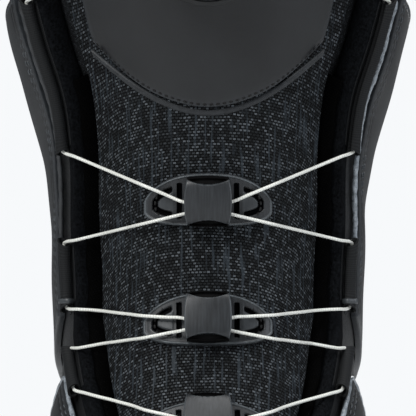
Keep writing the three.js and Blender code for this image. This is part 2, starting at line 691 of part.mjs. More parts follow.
const vampGuideMouth = (side, out) => {
  const { place, out: up } = vampGuideFrame();
  const across = vec(side * (VAMP_GUIDE.half + out), 0, 0);
  return place.addScaledVector(up, VAMP_GUIDE.height / 2).add(across);
};

// ---- the reel dial on the tongue ------------------------------------------------------------------------
const DIAL_LIFT = TONGUE_CROWN + 0.3 + PATCH_SKIN + 0.6;
const dialFrame = () => frameAt(DIAL_STATION, 0, DIAL_LIFT);
const SEGMENTS = 24;
const turned = (profile, segments = SEGMENTS) => {
  const closed = [...profile, profile[0]].map(([r, z]) => new THREE.Vector2(r, z));
  return new THREE.LatheGeometry(closed, segments).rotateX(Math.PI / 2);
};
const onDial = (geometry) => placed(geometry, dialFrame());

const BASE_PLATE = 1.6;
const CAVITY_RADIUS = DIAL_RADIUS - DIAL_WALL;
const FLANGE_RADIUS = 17.6;
const AXLE_TOP = HOUSING_HEIGHT + 2.2;
const LACE_EXIT_HEIGHT = BASE_PLATE + 2.6;
const LACE_EXIT_RADIUS = 1.2;
const SCREW = { shank: 1.2, head: 2.4, headHeight: 1.4, length: 4.4 };
function dialBase() {
  const body = turned([
    [0, 0],
    [FLANGE_RADIUS, 0],
    [FLANGE_RADIUS, BASE_PLATE - 0.4],
    [DIAL_RADIUS + 0.6, BASE_PLATE + 0.3],
    [DIAL_RADIUS, HOUSING_HEIGHT],
    [CAVITY_RADIUS, HOUSING_HEIGHT],
    [CAVITY_RADIUS, BASE_PLATE],
    [AXLE_RADIUS, BASE_PLATE],
    [AXLE_RADIUS, AXLE_TOP],
    [0, AXLE_TOP],
  ]);
  const exit = new THREE.CylinderGeometry(LACE_EXIT_RADIUS, LACE_EXIT_RADIUS, 3 * DIAL_RADIUS, 10);
  exit.rotateZ(Math.PI / 2);
  const gap = new THREE.CylinderGeometry(CAVITY_RADIUS - 1, CAVITY_RADIUS - 1, 6, 20).rotateX(Math.PI / 2);
  const exits = cutFrom(exit, gap).translate(0, 0, LACE_EXIT_HEIGHT);
  const hole = SCREW.shank + 0.2;
  const screwHole = new THREE.CylinderGeometry(hole, hole, 8, 12).rotateX(Math.PI / 2);
  screwHole.translate(0, 0, AXLE_TOP);
  const halves = solidOf(exits).decompose().map(geometryFrom);
  return onDial(cutFrom(body, ...halves, screwHole));
}

const SPOOL = { radius: CAVITY_RADIUS - 1.2, hub: 7.2, flange: 1, height: 5, foot: BASE_PLATE + RUNNING_GAP };
const DOG = { radius: 8.6, width: 1.6, length: 2, depth: 1.6 };
function spool() {
  const { radius, hub, flange, height, foot } = SPOOL;
  const body = turned([
    [AXLE_RADIUS + 0.3, 0],
    [radius, 0],
    [radius, flange],
    [hub, flange + 0.2],
    [hub, height - flange - 1],
    [radius, height - flange - 0.8],
    [radius, height],
    [AXLE_RADIUS + 0.3, height],
  ]).translate(0, 0, foot);
  const sockets = dogs(DOG.width + 0.6, DOG.length + 0.6, foot + height - DOG.depth - 0.2, 4);
  return onDial(cutFrom(body, ...sockets));
}
const dogs = (width, length, foot, height) =>
  Array.from({ length: DOG_COUNT }, (_, k) =>
    box(length, width, height, DOG.radius, 0, foot + height / 2).rotateZ((k * 2 * Math.PI) / DOG_COUNT),
  );
const WINDING = { inner: SPOOL.hub + 0.3, outer: 10 };
function laceWinding() {
  const foot = SPOOL.foot + SPOOL.flange + 0.5;
  const height = SPOOL.height - 2 * SPOOL.flange - 2;
  const { inner, outer } = WINDING;
  return onDial(
    turned([
      [inner, foot],
      [outer, foot + 0.2],
      [outer, foot + height - 0.2],
      [inner, foot + height],
    ], 24),
  );
}
// The disc under the knob carries the drive teeth and spring pawls that click past the housing's rim.
const DISC_FOOT = SPOOL.foot + SPOOL.height + 0.3;
const DISC = { radius: CAVITY_RADIUS - 0.6, bore: AXLE_RADIUS + RUNNING_GAP, thickness: 1.4 };
function driveDisc() {
  const body = turned([
    [DISC.bore, DISC_FOOT],
    [DISC.radius, DISC_FOOT],
    [DISC.radius, DISC_FOOT + DISC.thickness],
    [DISC.bore, DISC_FOOT + DISC.thickness],
  ]);
  return onDial(joined(body, ...dogs(DOG.width, DOG.length, DISC_FOOT - DOG.depth + 0.1, DOG.depth)));
}
const DISC_TOP = DISC_FOOT + DISC.thickness;
const COLLAR = { radius: AXLE_RADIUS + 2.4, height: 1.3 };
const detentRing = () => {
  const foot = DISC_TOP + 0.3;
  return onDial(
    turned([
      [AXLE_RADIUS + 0.25, foot],
      [COLLAR.radius, foot],
      [COLLAR.radius, foot + COLLAR.height],
      [AXLE_RADIUS + 0.25, foot + COLLAR.height],
    ], 20),
  );
};
const KNOB_FOOT = BASE_PLATE + 1.4;
const KNOB_TOP = HOUSING_HEIGHT + 5.2;
const KNOB_WALL = 1.2;
function knob() {
  const inside = DIAL_RADIUS + 0.5;
  const hub = COLLAR.radius + 1;
  return onDial(
    turned([
      [hub, DISC_TOP + 0.3],
      [DISC.radius - 1.5, DISC_TOP + 0.3],
      [DISC.radius - 1.5, KNOB_TOP - 2.6],
      [inside, KNOB_TOP - 3.6],
      [inside, KNOB_FOOT + 3.6],
      [inside + KNOB_WALL, KNOB_FOOT + 3.6],
      [inside + KNOB_WALL, KNOB_TOP - 2],
      [inside - 0.6, KNOB_TOP - 0.6],
      [hub + 6, KNOB_TOP - 0.2],
      [hub + 6, KNOB_TOP - 1.4],
      [hub, KNOB_TOP - 1.4],
    ]),
  );
}
const GRIP = { ribs: 16, thickness: 1.5 };
function knobGrip() {
  const inner = DIAL_RADIUS + 0.5 + KNOB_WALL + 0.2;
  const outer = inner + GRIP.thickness;
  const shape = new THREE.Shape();
  const steps = GRIP.ribs * 4;
  for (let k = 0; k < steps; k++) {
    const r = outer + (k % 4 < 2 ? 0.5 : -0.3);
    const a = (k / steps) * 2 * Math.PI;
    shape[k ? "lineTo" : "moveTo"](r * Math.cos(a), r * Math.sin(a));
  }
  shape.holes.push(new THREE.Path().absarc(0, 0, inner, 0, 2 * Math.PI, true));
  return onDial(plate(shape, KNOB_FOOT + 3.8, KNOB_TOP - 2.2, 16));
}
const dialCap = () =>
  onDial(
    turned([
      [0, KNOB_TOP - 1.1],
      [COLLAR.radius + 6.7, KNOB_TOP - 1.1],
      [COLLAR.radius + 6.4, KNOB_TOP + 0.2],
      [0, KNOB_TOP + 0.5],
    ]),
  );
function dialScrew() {
  const { shank: r, head, headHeight, length } = SCREW;
  const seat = AXLE_TOP + 0.25;
  return onDial(
    turned([
      [0, seat + headHeight - length],
      [r, seat + headHeight - length],
      [r, seat],
      [head, seat],
      [head, seat + headHeight],
      [0, seat + headHeight],
    ], 16),
  );
}

// ---- the lace: one loop from the reel, down both edges and back -----------------------------------------
const STRAND_LIFTS = [1.05, 2.65]; // above the bridge's foot: the strand beneath, the strand on top
const LACE_CLEARANCE = LACE_RADIUS + 0.9;
const MOUTH_RUN = 2.1; // straight lace outside a tunnel's mouth
function guideStrand(k, fromSide, strand) {
  const { up, out, place } = bridgeFrame(GUIDE_STATIONS[k]);
  const middle = place.addScaledVector(out, STRAND_LIFTS[strand]);
  const at = (x, h) => middle.clone().add(vec(x, 0, 0)).addScaledVector(up, h);
  const reach = BRIDGE_HALF + 0.6;
  return [
    at(fromSide * reach, STRAND_SPREAD - STRAND_DROP),
    at(-fromSide * reach, -STRAND_SPREAD - STRAND_DROP),
  ];
}
// From a guide to a tunnel's mouth: straight, except where the tongue or the guide's wing holds it up.
function overTongue(from, to) {
  const steps = 9;
  return Array.from({ length: steps - 1 }, (_, i) => {
    const p = from.clone().lerp(to, (i + 1) / steps);
    const wing = Math.abs(p.x) < GUIDE_HALF + 4 ? 0.6 + FLANGE : 0;
    return vec(p.x, Math.min(p.y, overFront(p.x, p.z, wing + LACE_CLEARANCE).y), p.z);
  });
}
function tubeRun(side, k) {
  const axis = tubeAxis(side, TUBES[k], tubeSteps(TUBES[k]));
  const end = (a, b) => a.clone().addScaledVector(a.clone().sub(b).normalize(), MOUTH_RUN);
  return [end(axis[0], axis[1]), ...axis, end(axis[axis.length - 1], axis[axis.length - 2])];
}
function dialExit(side) {
  const { place, out } = dialFrame();
  const at = (x, h) => place.clone().addScaledVector(out, LACE_EXIT_HEIGHT + h).add(vec(side * x, 0, 0));
  return [at(SPOOL.radius + 0.8, 0), at(FLANGE_RADIUS + 1.5, 0)];
}
// From the reel down to the vamp, changing sides at each guide.
function halfLace(start) {
  const exit = dialExit(start);
  let run = tubeRun(start, 0);
  const points = [...exit, ...overTongue(exit[exit.length - 1], run[0]), ...run];
  GUIDE_STATIONS.forEach((_, k) => {
    const side = start * (-1) ** k;
    const strand = guideStrand(k, side, start > 0 ? 0 : 1);
    const next = tubeRun(-side, k + 1);
    points.push(...overTongue(run[run.length - 1], strand[0]), ...strand);
    points.push(...overTongue(strand[1], next[0]), ...next);
    run = next;
  });
  return [...points, vampGuideMouth(-start, 1)];
}
const lacePoints = () => [...halfLace(1), ...halfLace(-1).reverse()];
const lace = () => sweep(lacePoints(), LACE_RADIUS, 5);

// ---- the inner boot -------------------------------------------------------------------------------------
const LINER_TOP = 16.75;
const LINER_SLIT = 30; // half-opening for the inner tongue
const linerSlit = (s) => mix(0.6, LINER_SLIT, smooth(5.8, 8.5, s));
const liner = () =>
  patch({
    s: [0.25, LINER_TOP],
    turn: [(s) => linerSlit(s), (s) => 360 - linerSlit(s)],
    lift: [(s) => linerFace(s) - LINER_WALL, linerFace],
  });
const linerTongue = () =>
  patch({
    s: [7, 17.15],
    turn: mirroredPair((s) => linerSlit(s) - 1.2),
    lift: [(s) => linerFace(s) - LINER_WALL, (s) => linerFace(s) - 0.2],
  });
const footbed = () =>
  patch({
    s: [2, 9.5],
    turn: [150, 210],
    lift: [(s) => linerFace(s) - LINER_WALL - 4.6, (s) => linerFace(s) - LINER_WALL - 0.5],
  });

// ---- assembly -------------------------------------------------------------------------------------------
const FINISHES = {
  rubber: [0x17181a, 0.8, 0],
  foam: [0x2a2b2e, 0.75, 0],
  board: [0x6c6453, 0.9, 0],
  composite: [0x222426, 0.4, 0.2],
  gel: [0x5a5f66, 0.3, 0],
  leather: [0x232428, 0.5, 0],
  piping: [0x8f9296, 0.3, 0.1],
  lining: [0x141416, 0.95, 0],
  counter: [0x1f2023, 0.4, 0],
  webbing: [0x2c2d30, 0.85, 0],
  knit: [0x1a1c1f, 0.85, 0],
  nylon: [0x3a3d40, 0.45, 0],
  steel: [0xdcdcd4, 0.35, 0.8],
  linerFoam: [0x26272a, 0.9, 0],
  eva: [0x8c8f93, 0.8, 0],
};
const boot = new THREE.Group();
function add(name, geometry, finish) {
  const [color, roughness, metalness] = FINISHES[finish];
  const mesh = new THREE.Mesh(geometry, new THREE.MeshStandardMaterial({ color, roughness, metalness }));
  mesh.name = name;
  boot.add(mesh);
}

add("midsole", midsole(), "foam");
add("shank", shank(), "composite");
add("heel_gel_pad", gelPad(), "gel");
add("outsole_forefoot", tread(-154 * LENGTH_SCALE, 12), "rubber");
add("outsole_heel", tread(40, 154 * LENGTH_SCALE), "rubber");
add("lasting_board", lastingBoard(), "board");

add("vamp", vamp(), "leather");
add("toe_cap", toeCap(), "rubber");
add("heel_counter", heelCounter(), "counter");
add("backstay", backstay(), "leather");
add("heel_loop", heelLoop(), "webbing");
const SIDES = { lateral: 1, medial: -1 };
for (const [name, side] of Object.entries(SIDES)) {
  add(`quarter_${name}`, quarter(side), "leather");
  add(`side_panel_${name}`, sidePanel(side), "leather");
  add(`cuff_panel_${name}`, cuffPanel(side), "leather");
  add(`cuff_piping_${name}`, cuffPiping(side), "piping");
  add(`lining_${name}`, lining(side), "lining");
  add(`gusset_${name}`, gusset(side), "lining");
  TUBES.forEach((_, k) => add(`lace_tube_${name}_${k + 1}`, laceTube(side, k), "webbing"));
}

add("tongue", tongue(), "knit");
add("tongue_patch", tonguePatch(), "leather");
add("patch_binding", patchBinding(), "webbing");
GUIDE_STATIONS.forEach((station, k) => {
  add(`guide_${k + 1}_flange`, guideFlange(station), "nylon");
  add(`guide_${k + 1}_bridge`, guideBridge(station), "nylon");
});
add("vamp_guide", vampGuide(), "nylon");

add("dial_base", dialBase(), "nylon");
add("dial_spool", spool(), "nylon");
add("lace_winding", laceWinding(), "steel");
add("drive_disc", driveDisc(), "nylon");
add("detent_ring", detentRing(), "steel");
add("dial_knob", knob(), "nylon");
add("knob_grip", knobGrip(), "rubber");
add("dial_cap", dialCap(), "nylon");
add("dial_screw", dialScrew(), "steel");
add("lace", lace(), "steel");

add("liner", liner(), "linerFoam");
add("liner_tongue", linerTongue(), "linerFoam");
add("footbed", footbed(), "eva");

export default boot;
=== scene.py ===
"""A left snowboard boot with a steel lace, three lace guides and a reel dial on its tongue.

Each sewn layer is built over one form, the last: a station s runs from 0 at the toe's tip to 17 near the
tongue's top, and a turn in degrees is 0 on the front centre line, +90 on the outer side and 180 at the back
or under the foot. Lengths are millimetres until a mesh is made.
"""

import math

import bmesh
import bpy
import numpy as np
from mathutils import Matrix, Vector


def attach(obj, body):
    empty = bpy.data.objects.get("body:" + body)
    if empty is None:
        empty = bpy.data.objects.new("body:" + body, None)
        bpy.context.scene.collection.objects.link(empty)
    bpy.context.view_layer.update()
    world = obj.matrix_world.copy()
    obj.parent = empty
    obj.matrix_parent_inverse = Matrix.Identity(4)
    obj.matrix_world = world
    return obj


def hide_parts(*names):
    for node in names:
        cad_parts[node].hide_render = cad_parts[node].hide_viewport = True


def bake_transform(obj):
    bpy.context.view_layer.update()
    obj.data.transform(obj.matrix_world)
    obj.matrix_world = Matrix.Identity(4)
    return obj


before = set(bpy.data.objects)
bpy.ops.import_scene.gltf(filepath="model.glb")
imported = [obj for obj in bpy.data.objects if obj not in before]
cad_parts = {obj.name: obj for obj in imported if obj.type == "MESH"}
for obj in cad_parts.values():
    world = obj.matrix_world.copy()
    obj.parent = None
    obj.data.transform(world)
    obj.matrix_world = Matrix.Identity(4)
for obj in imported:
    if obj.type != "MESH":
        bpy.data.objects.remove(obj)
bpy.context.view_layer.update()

MM = 0.001

# ---- camera, light and floor -----------------------------------------------
VIEW_WIDTH = 133.1 * MM  # what the camera takes in across the tongue
VIEW_DISTANCE = 650 * MM
TONGUE_FACE_Y = -24 * MM
VIEW_HEIGHT = 205 * MM
SENSOR = 36.0
FLOOR_RADIUS = 1.15
BACKGROUND_WHITE = "#f7f9fb"
# Near-black painted into the grooves and slots of the mouldings as their shade.
PAINTED_SHADE_BLACK = "#020203"


def linear(code, alpha=1.0):
    """An sRGB hex colour as linear light."""
    parts = [int(code[i : i + 2], 16) / 255 for i in (1, 3, 5)]
    return (*[c / 12.92 if c <= 0.04045 else ((c + 0.055) / 1.055) ** 2.4 for c in parts], alpha)


def add(tree, kind, inputs=None, stops=None, **settings):
    """Adds a node to a tree: sockets take a value or a link, and a ramp takes its colour stops."""
    node = tree.nodes.new(kind)
    for key, value in settings.items():
        setattr(node, key, value)
    for key, value in (inputs or {}).items():
        if isinstance(value, bpy.types.NodeSocket):
            tree.links.new(value, node.inputs[key])
        else:
            node.inputs[key].default_value = value
    if stops:
        ramp = node.color_ramp.elements
        while len(ramp) < len(stops):
            ramp.new(1.0)
        for element, (place, colour) in zip(ramp, stops):
            element.position = place
            element.color = linear(colour)
    return node


def link(item):
    bpy.context.scene.collection.objects.link(item)


def set_camera():
    data = bpy.data.cameras.new("camera")
    data.sensor_width = SENSOR
    data.lens = SENSOR * VIEW_DISTANCE / VIEW_WIDTH
    camera = bpy.data.objects.new("camera", data)
    camera.location = (0, TONGUE_FACE_Y - VIEW_DISTANCE, VIEW_HEIGHT)
    camera.rotation_euler = (math.pi / 2, 0, 0)
    link(camera)
    bpy.context.scene.camera = camera


def set_world():
    world = bpy.data.worlds.new("studio")
    world.use_nodes = True
    tree = world.node_tree
    tree.nodes.clear()
    seen = add(tree, "ShaderNodeBackground", {"Color": linear(BACKGROUND_WHITE), "Strength": 1.0})
    fill = add(tree, "ShaderNodeBackground", {"Color": linear("#eef3f8"), "Strength": 0.2})
    path = add(tree, "ShaderNodeLightPath")
    both = add(
        tree,
        "ShaderNodeMixShader",
        {0: path.outputs["Is Camera Ray"], 1: fill.outputs[0], 2: seen.outputs[0]},
    )
    add(tree, "ShaderNodeOutputWorld", {"Surface": both.outputs[0]})
    bpy.context.scene.world = world
    bpy.context.scene.view_settings.view_transform = "Standard"


# Soft boxes: where each stands, its size, its power, and its tint.
SOFT_BOXES = {
    "key_soft_box": ((-0.8, -1.15, 1.15), 0.7, 20, "#ffffff"),
    "fill_soft_box": ((1.35, -0.85, 0.75), 1.0, 9, "#f2f6ff"),
    "overhead_soft_box": ((0.15, -0.35, 1.6), 0.9, 12, "#ffffff"),
    "back_soft_box": ((0.3, 1.35, 0.9), 1.1, 16, "#ffffff"),
}


def set_lights():
    target = np.array([0, -0.02, 0.19])
    for name, (place, size, power, tint) in SOFT_BOXES.items():
        data = bpy.data.lights.new(name, "AREA")
        data.size, data.energy, data.color = size, power, linear(tint)[:3]
        lamp = bpy.data.objects.new(name, data)
        lamp.location = place
        away = Vector(place) - Vector(target)
        lamp.rotation_euler = away.to_track_quat("Z", "Y").to_euler()
        lamp.visible_camera = False
        link(lamp)


# ---- the last --------------------------------------------------------------
# One row for each station: front or top point (y, z), back or bottom point (y, z), half-width near each,
# shift of the middle, how square the front and the back are, and where the section is widest.
STATIONS = np.array([
    [-150, 41, -150, 41, 0, 0, -7, 2.4, 3.0, 0.6],
    [-147, 60, -147, 29, 24, 24, -7, 2.4, 3.0, 0.6],
    [-139, 71, -140, 27, 36, 36, -6, 2.4, 3.4, 0.62],
    [-126, 80, -127, 26.5, 45, 45, -5, 2.4, 4.0, 0.62],
    [-108, 87, -109, 26, 51, 51, -3, 2.4, 4.0, 0.62],
    [-86, 94, -84, 26, 54, 54, -1, 2.3, 4.0, 0.62],
    [-64, 105, -54, 26.5, 53, 52, 0, 2.2, 4.0, 0.6],
    [-46, 121, -18, 27, 51.5, 48.5, 0, 2.2, 3.8, 0.57],
    [-32, 140, 28, 28, 51.5, 48, 0, 2.2, 3.4, 0.53],
    [-24, 160, 76, 28.5, 52, 48, 0, 2.3, 3.0, 0.49],
    [-20, 180, 119, 30, 51.5, 47, 0, 2.3, 2.9, 0.46],
    [-19, 199, 146.5, 52, 51.6, 45.8, 0, 2.4, 2.5, 0.45],
    [-21, 218, 148.5, 94, 53.3, 45.8, 0, 2.4, 2.3, 0.45],
    [-24, 236, 139, 136, 53.2, 46.2, 0, 2.4, 2.3, 0.45],
    [-28, 253, 131, 176, 55.8, 48.8, 0, 2.4, 2.3, 0.45],
    [-32, 270, 126, 216, 63.1, 56.1, 0, 2.4, 2.3, 0.45],
    [-36, 286, 123, 252, 68.3, 61.3, 0, 2.4, 2.3, 0.45],
    [-40, 304, 121, 282, 69.6, 62.6, 0, 2.4, 2.3, 0.45],
    [-44, 322, 120, 308, 69.6, 62.6, 0, 2.4, 2.3, 0.45],
])
_TIP = STATIONS[1]
BEYOND_TIP = np.array([_TIP[2], _TIP[3], _TIP[0], _TIP[1], -_TIP[4], -_TIP[5], *_TIP[6:]])
ROWS = np.vstack([BEYOND_TIP, STATIONS, STATIONS[-1]])
ACROSS = np.array([1.0, 0, 0])
TOE_SPRING = 7.0
SPRING_START = -70.0
SPRING_LENGTH = 86.0
STEP = 0.02  # of a station, for slopes


def mix(a, b, t):
    return a + (b - a) * t


def clamp01(t):
    return np.clip(t, 0.0, 1.0)


def smooth(lo, hi, t):
    c = clamp01((t - lo) / (hi - lo))
    return c * c * (3 - 2 * c)


def called(value, *at):
    return value(*at) if callable(value) else value


def unit(v):
    return v / np.maximum(np.linalg.norm(v, axis=-1, keepdims=True), 1e-12)


def curve(p, q, r, w, t):
    """The smooth line from q to r, a share t of the way, with p before it and w after."""
    return q + 0.5 * t * (r - p + t * (2 * p - 5 * q + 4 * r - w + t * (3 * (q - r) + w - p)))


def station_at(s):
    i = np.clip(np.floor(s).astype(int), 0, len(STATIONS) - 2)
    t = (s - i)[..., None]
    p, q, r, w = (ROWS[i + k] for k in range(4))
    return curve(p, q, r, w, t)


def toe_spring(y):
    return TOE_SPRING * clamp01((SPRING_START - y) / SPRING_LENGTH) ** 2


def form(s, turn):
    s, turn = np.broadcast_arrays(np.asarray(s, float), np.asarray(turn, float))
    fy, fz, by, bz, wf, wb, shift, nf, nb, widest = np.moveaxis(station_at(s), -1, 0)
    sin, cos = np.sin(np.radians(turn)), np.cos(np.radians(turn))
    frontness = (1 + cos) / 2
    n = mix(nb, nf, frontness)
    reach = (np.abs(sin) ** n + np.abs(cos) ** n) ** (-1 / n)
    q = cos * reach
    y = mix(mix(fy, by, widest), np.where(q > 0, fy, by), np.abs(q))
    z = mix(mix(fz, bz, widest), np.where(q > 0, fz, bz), np.abs(q))
    x = shift + mix(wb, wf, frontness) * sin * reach
    return np.stack([x, y, z + toe_spring(y)], -1)


def frame_at(s, turn):
    """The last's point, its outward, upward and round-the-leg directions, and mm for each station."""
    at = np.maximum(s, 0.03)
    up = form(at + STEP, turn) - form(at - STEP, turn)
    round_leg = form(at, np.asarray(turn) + 0.5) - form(at, np.asarray(turn) - 0.5)
    out = unit(np.cross(round_leg, up))
    return form(s, turn), out, unit(up), unit(round_leg), np.linalg.norm(up, axis=-1) / (2 * STEP)


def on_last(s, turn, lift=0.0):
    place, out, *_ = frame_at(s, turn)
    return place + out * np.broadcast_to(lift, place.shape[:-1])[..., None]


# ---- sizes shared with the frame -------------------------------------------
FIT_GAP = 0.5
SKIN = 2.2
OVERLAY = 2.2
PADDING = 4.6
LINER_WALL = 6.4
TONGUE_CROWN = 2.5
TONGUE_FLOOR = -PADDING - FIT_GAP - 0.2
THROAT_TURN = 50.5
THROAT_END = 6.15
TONGUE_CLEARANCE_TURN = 4.0
SHELL_TOP = 16.0
TUCK_TURN = 150.0
TONGUE_TOP = 17.3
PATCH_TURN = 37.0
PATCH_FOOT = 13.1
PATCH_SKIN = 1.3
SEAT = 0.3  # how far a fitting stands over the tongue's face
PIPING_TURN = 8.6
PIPED = 0.9  # radius of the rolled trim
MOUTH_RUN = 2.1
OVERLAY_LIFT = (SKIN + FIT_GAP, SKIN + FIT_GAP + OVERLAY)


def throat_turn(s):
    return mix(8.0, THROAT_TURN, np.sqrt(clamp01((s - THROAT_END) / 4.2)))


def tongue_turn(s):
    return throat_turn(s) - TONGUE_CLEARANCE_TURN * smooth(THROAT_END - 0.2, 8, s) - 1.2


def tongue_face(s, turn):
    return mix(TONGUE_CROWN, -3.0, smooth(16, 46, np.abs(turn)))


def under_turn(s):
    return mix(TUCK_TURN, 179.4, clamp01(s - 9.5))


def liner_face(s):
    return mix(-0.8, TONGUE_FLOOR - 0.8, smooth(3.4, 5.4, s))


def liner_lift(above):
    return lambda s, turn: liner_face(s) + above


def liner_slit(s):
    return mix(0.6, 30.0, smooth(5.8, 8.5, s))


def patch_foot(turn):
    return PATCH_FOOT + 1.2 * (turn / 33) ** 2


# ---- meshes ----------------------------------------------------------------
SHARP = math.radians(48)


def finished(name, points, faces, material, uv=None, rim=None, sharp=SHARP):
    """A mesh object at the origin, from points in mm, with doubled points merged at poles and seams."""
    mesh = bpy.data.meshes.new(name)
    mesh.from_pydata((np.asarray(points) * MM).tolist(), [], faces)
    if uv is not None:
        corner_of = np.zeros(len(mesh.loops), int)
        mesh.loops.foreach_get("vertex_index", corner_of)
        mesh.uv_layers.new(name="cut").data.foreach_set("uv", np.asarray(uv)[corner_of].ravel())
    if rim is not None:
        mesh.attributes.new("rim", "FLOAT", "POINT").data.foreach_set("value", np.asarray(rim, float))
    work = bmesh.new()
    work.from_mesh(mesh)
    bmesh.ops.remove_doubles(work, verts=work.verts, dist=2e-6)
    bmesh.ops.dissolve_degenerate(work, edges=work.edges, dist=1e-7)
    work.to_mesh(mesh)
    work.free()
    mesh.shade_smooth()
    mesh.set_sharp_from_angle(angle=sharp)
    mesh.materials.append(material)
    piece = bpy.data.objects.new(name, mesh)
    link(piece)
    return piece


def grid_faces(rows, columns, start=0, flip=False):
    j, i = np.meshgrid(np.arange(rows - 1), np.arange(columns - 1), indexing="ij")
    a = (start + j * columns + i).ravel()
    quad = np.stack([a, a + 1, a + columns + 1, a + columns], -1)
    return quad[:, ::-1] if flip else quad


def shell_faces(rows, columns):
    """Faces of a closed sheet: an outer grid, an inner grid after it, and the four walls between."""
    size = rows * columns
    bottom, top = np.arange(columns), (rows - 1) * columns + np.arange(columns)
    left, right = np.arange(rows) * columns, np.arange(rows) * columns + columns - 1
    walls = []
    for edge, turned in ((bottom, True), (right, True), (top, False), (left, False)):
        a, b = edge[:-1], edge[1:]
        wall = np.stack([a, b, b + size, a + size], -1)
        walls.append(wall[:, ::-1] if turned else wall)
    return np.vstack([grid_faces(rows, columns), grid_faces(rows, columns, size, True), *walls]).tolist()


def ring_faces(rings, sides):
    """Quads between closed rings of points that follow one another."""
    faces = []
    for j in range(rings - 1):
        for i in range(sides):
            k = (i + 1) % sides
            faces.append((j * sides + i, j * sides + k, (j + 1) * sides + k, (j + 1) * sides + i))
    return faces


def stacked(*grids):
    return np.concatenate([grid.reshape(-1, 3) for grid in grids])


def outwards(piece):
    """Turns the faces of a closed shape outwards."""
    work = bmesh.new()
    work.from_mesh(piece.data)
    bmesh.ops.recalc_face_normals(work, faces=work.faces)
    work.to_mesh(piece.data)
    work.free()
    return piece


def baked(piece, name, sharp=SHARP):
    """Gives a piece the mesh that its modifiers make."""
    first = piece.data
    plain = bpy.data.meshes.new_from_object(piece.evaluated_get(bpy.context.evaluated_depsgraph_get()))
    piece.modifiers.clear()
    piece.data = plain
    bpy.data.meshes.remove(first)
    plain.name = name
    plain.shade_smooth()
    plain.set_sharp_from_angle(angle=sharp)
    return piece


def lengths_along(points, axis):
    """Distance run along one axis of a grid of points."""
    steps = np.linalg.norm(np.diff(points, axis=axis), axis=-1)
    zero = np.zeros_like(np.take(steps, [0], axis=axis))
    return np.concatenate([zero, np.cumsum(steps, axis=axis)], axis=axis)


def run_of(points):
    """Distance run along a line of points."""
    return lengths_along(points[None], 1)[0]


def strip_uv(across, along):
    return np.stack(np.broadcast_arrays(across[None], along[:, None]), -1).reshape(-1, 2) * MM


def circle(count):
    return np.linspace(0, 2 * np.pi, count, endpoint=False)


def cloth_uv(points):
    """Metres across from the middle column, and metres up the middle column."""
    middle = points.shape[1] // 2
    across = lengths_along(points, 1)
    across -= across[:, [middle]]
    along = np.broadcast_to(lengths_along(points, 0)[:, [middle]], across.shape)
    return np.stack([across, along], -1) * MM


def lines(length, edge, step, near=(), far=()):
    """Shares of a length where the grid has lines: close in the rounded edges and beside each seam."""
    ends = edge * np.array([0, 0.07, 0.28, 0.6, 1.0])
    count = max(2, round((length - 2 * edge) / step))
    spots = [ends, length - ends, np.linspace(edge, length - edge, count + 1)[1:-1]]
    beside = np.array([-0.55, -0.25, 0, 0.25, 0.55])
    spots += [inset + beside for inset in near] + [length - inset - beside for inset in far]
    every = np.unique(np.round(np.clip(np.concatenate(spots), 0, length), 3))
    keep = np.concatenate([[True], np.diff(every) > 0.02])
    return every[keep] / length


SEAMS = {"boot": [], "tongue_assembly": []}  # runs of stitches: (points, outward directions)
GROOVE_DEPTH = 0.28
SINK = 0.08  # a stitch's middle over the sunk seam


class Spread:
    """How a piece lies on the last: u runs round the leg and v up it, both from 0 to 1."""

    def __init__(self, s, turn):
        self.s, self.turn = s, turn
        self.by_turn = any(callable(end) for end in s)
        u, v = np.meshgrid(np.linspace(0, 1, 25), np.linspace(0, 1, 25))
        points = on_last(*self.at(u, v))
        self.across = lengths_along(points, 1)[:, -1].mean()
        self.along = lengths_along(points, 0)[-1].mean()

    def at(self, u, v):
        if self.by_turn:
            turn = mix(*self.turn, u) + 0 * v
            return mix(called(self.s[0], turn), called(self.s[1], turn), v), turn
        s = mix(*self.s, v) + 0 * u
        return s, mix(called(self.turn[0], s), called(self.turn[1], s), u)


def panel(
    name, s, turn, lift, material, body="boot", edge=0.9, step=2.2, seams=(), relief=None, rounded="lrbt"
):
    """A sewn panel with rounded edges. A seam is (side, distance from it), with side l, r, b or t."""
    spread = Spread(s, turn)
    across, along = spread.across, spread.along
    insets = {side: [d for where, d in seams if where == side] for side in "lrbt"}
    u = lines(across, edge, step, insets["l"], insets["r"])
    v = lines(along, edge, step, insets["b"], insets["t"])
    U, V = np.meshgrid(u, v)
    from_side = {"l": U * across, "r": (1 - U) * across, "b": V * along, "t": (1 - V) * along}
    S, T = spread.at(U, V)
    inset = np.minimum.reduce([from_side[side] for side in rounded])
    droop = edge - np.sqrt(np.maximum(edge**2 - (edge - np.clip(inset, 0, edge)) ** 2, 0))
    high = called(lift[1], S, T) - droop
    for side, distance in seams:
        others = [from_side[o] for o in "lrbt" if o != side and o in rounded]
        inside = np.minimum.reduce(others) > distance - 0.6 if others else True
        high = high - GROOVE_DEPTH * np.exp(-(((from_side[side] - distance) / 0.4) ** 2)) * inside
        sew(spread, side, distance, lift[1], body)
    if relief is not None:
        high = high + relief(S, T, U * across, V * along)
    place, out, *_ = frame_at(S, T)
    outer = place + out * high[..., None]
    inner = place + out * np.broadcast_to(called(lift[0], S, T), high.shape)[..., None]
    rows, columns = high.shape
    rim = 1 - smooth(0.2, 1.6, inset)
    return finished(
        name,
        stacked(outer, inner),
        shell_faces(rows, columns),
        material,
        uv=np.tile(cloth_uv(outer).reshape(-1, 2), (2, 1)),
        rim=np.concatenate([rim.ravel(), np.ones(rim.size)]),
    )


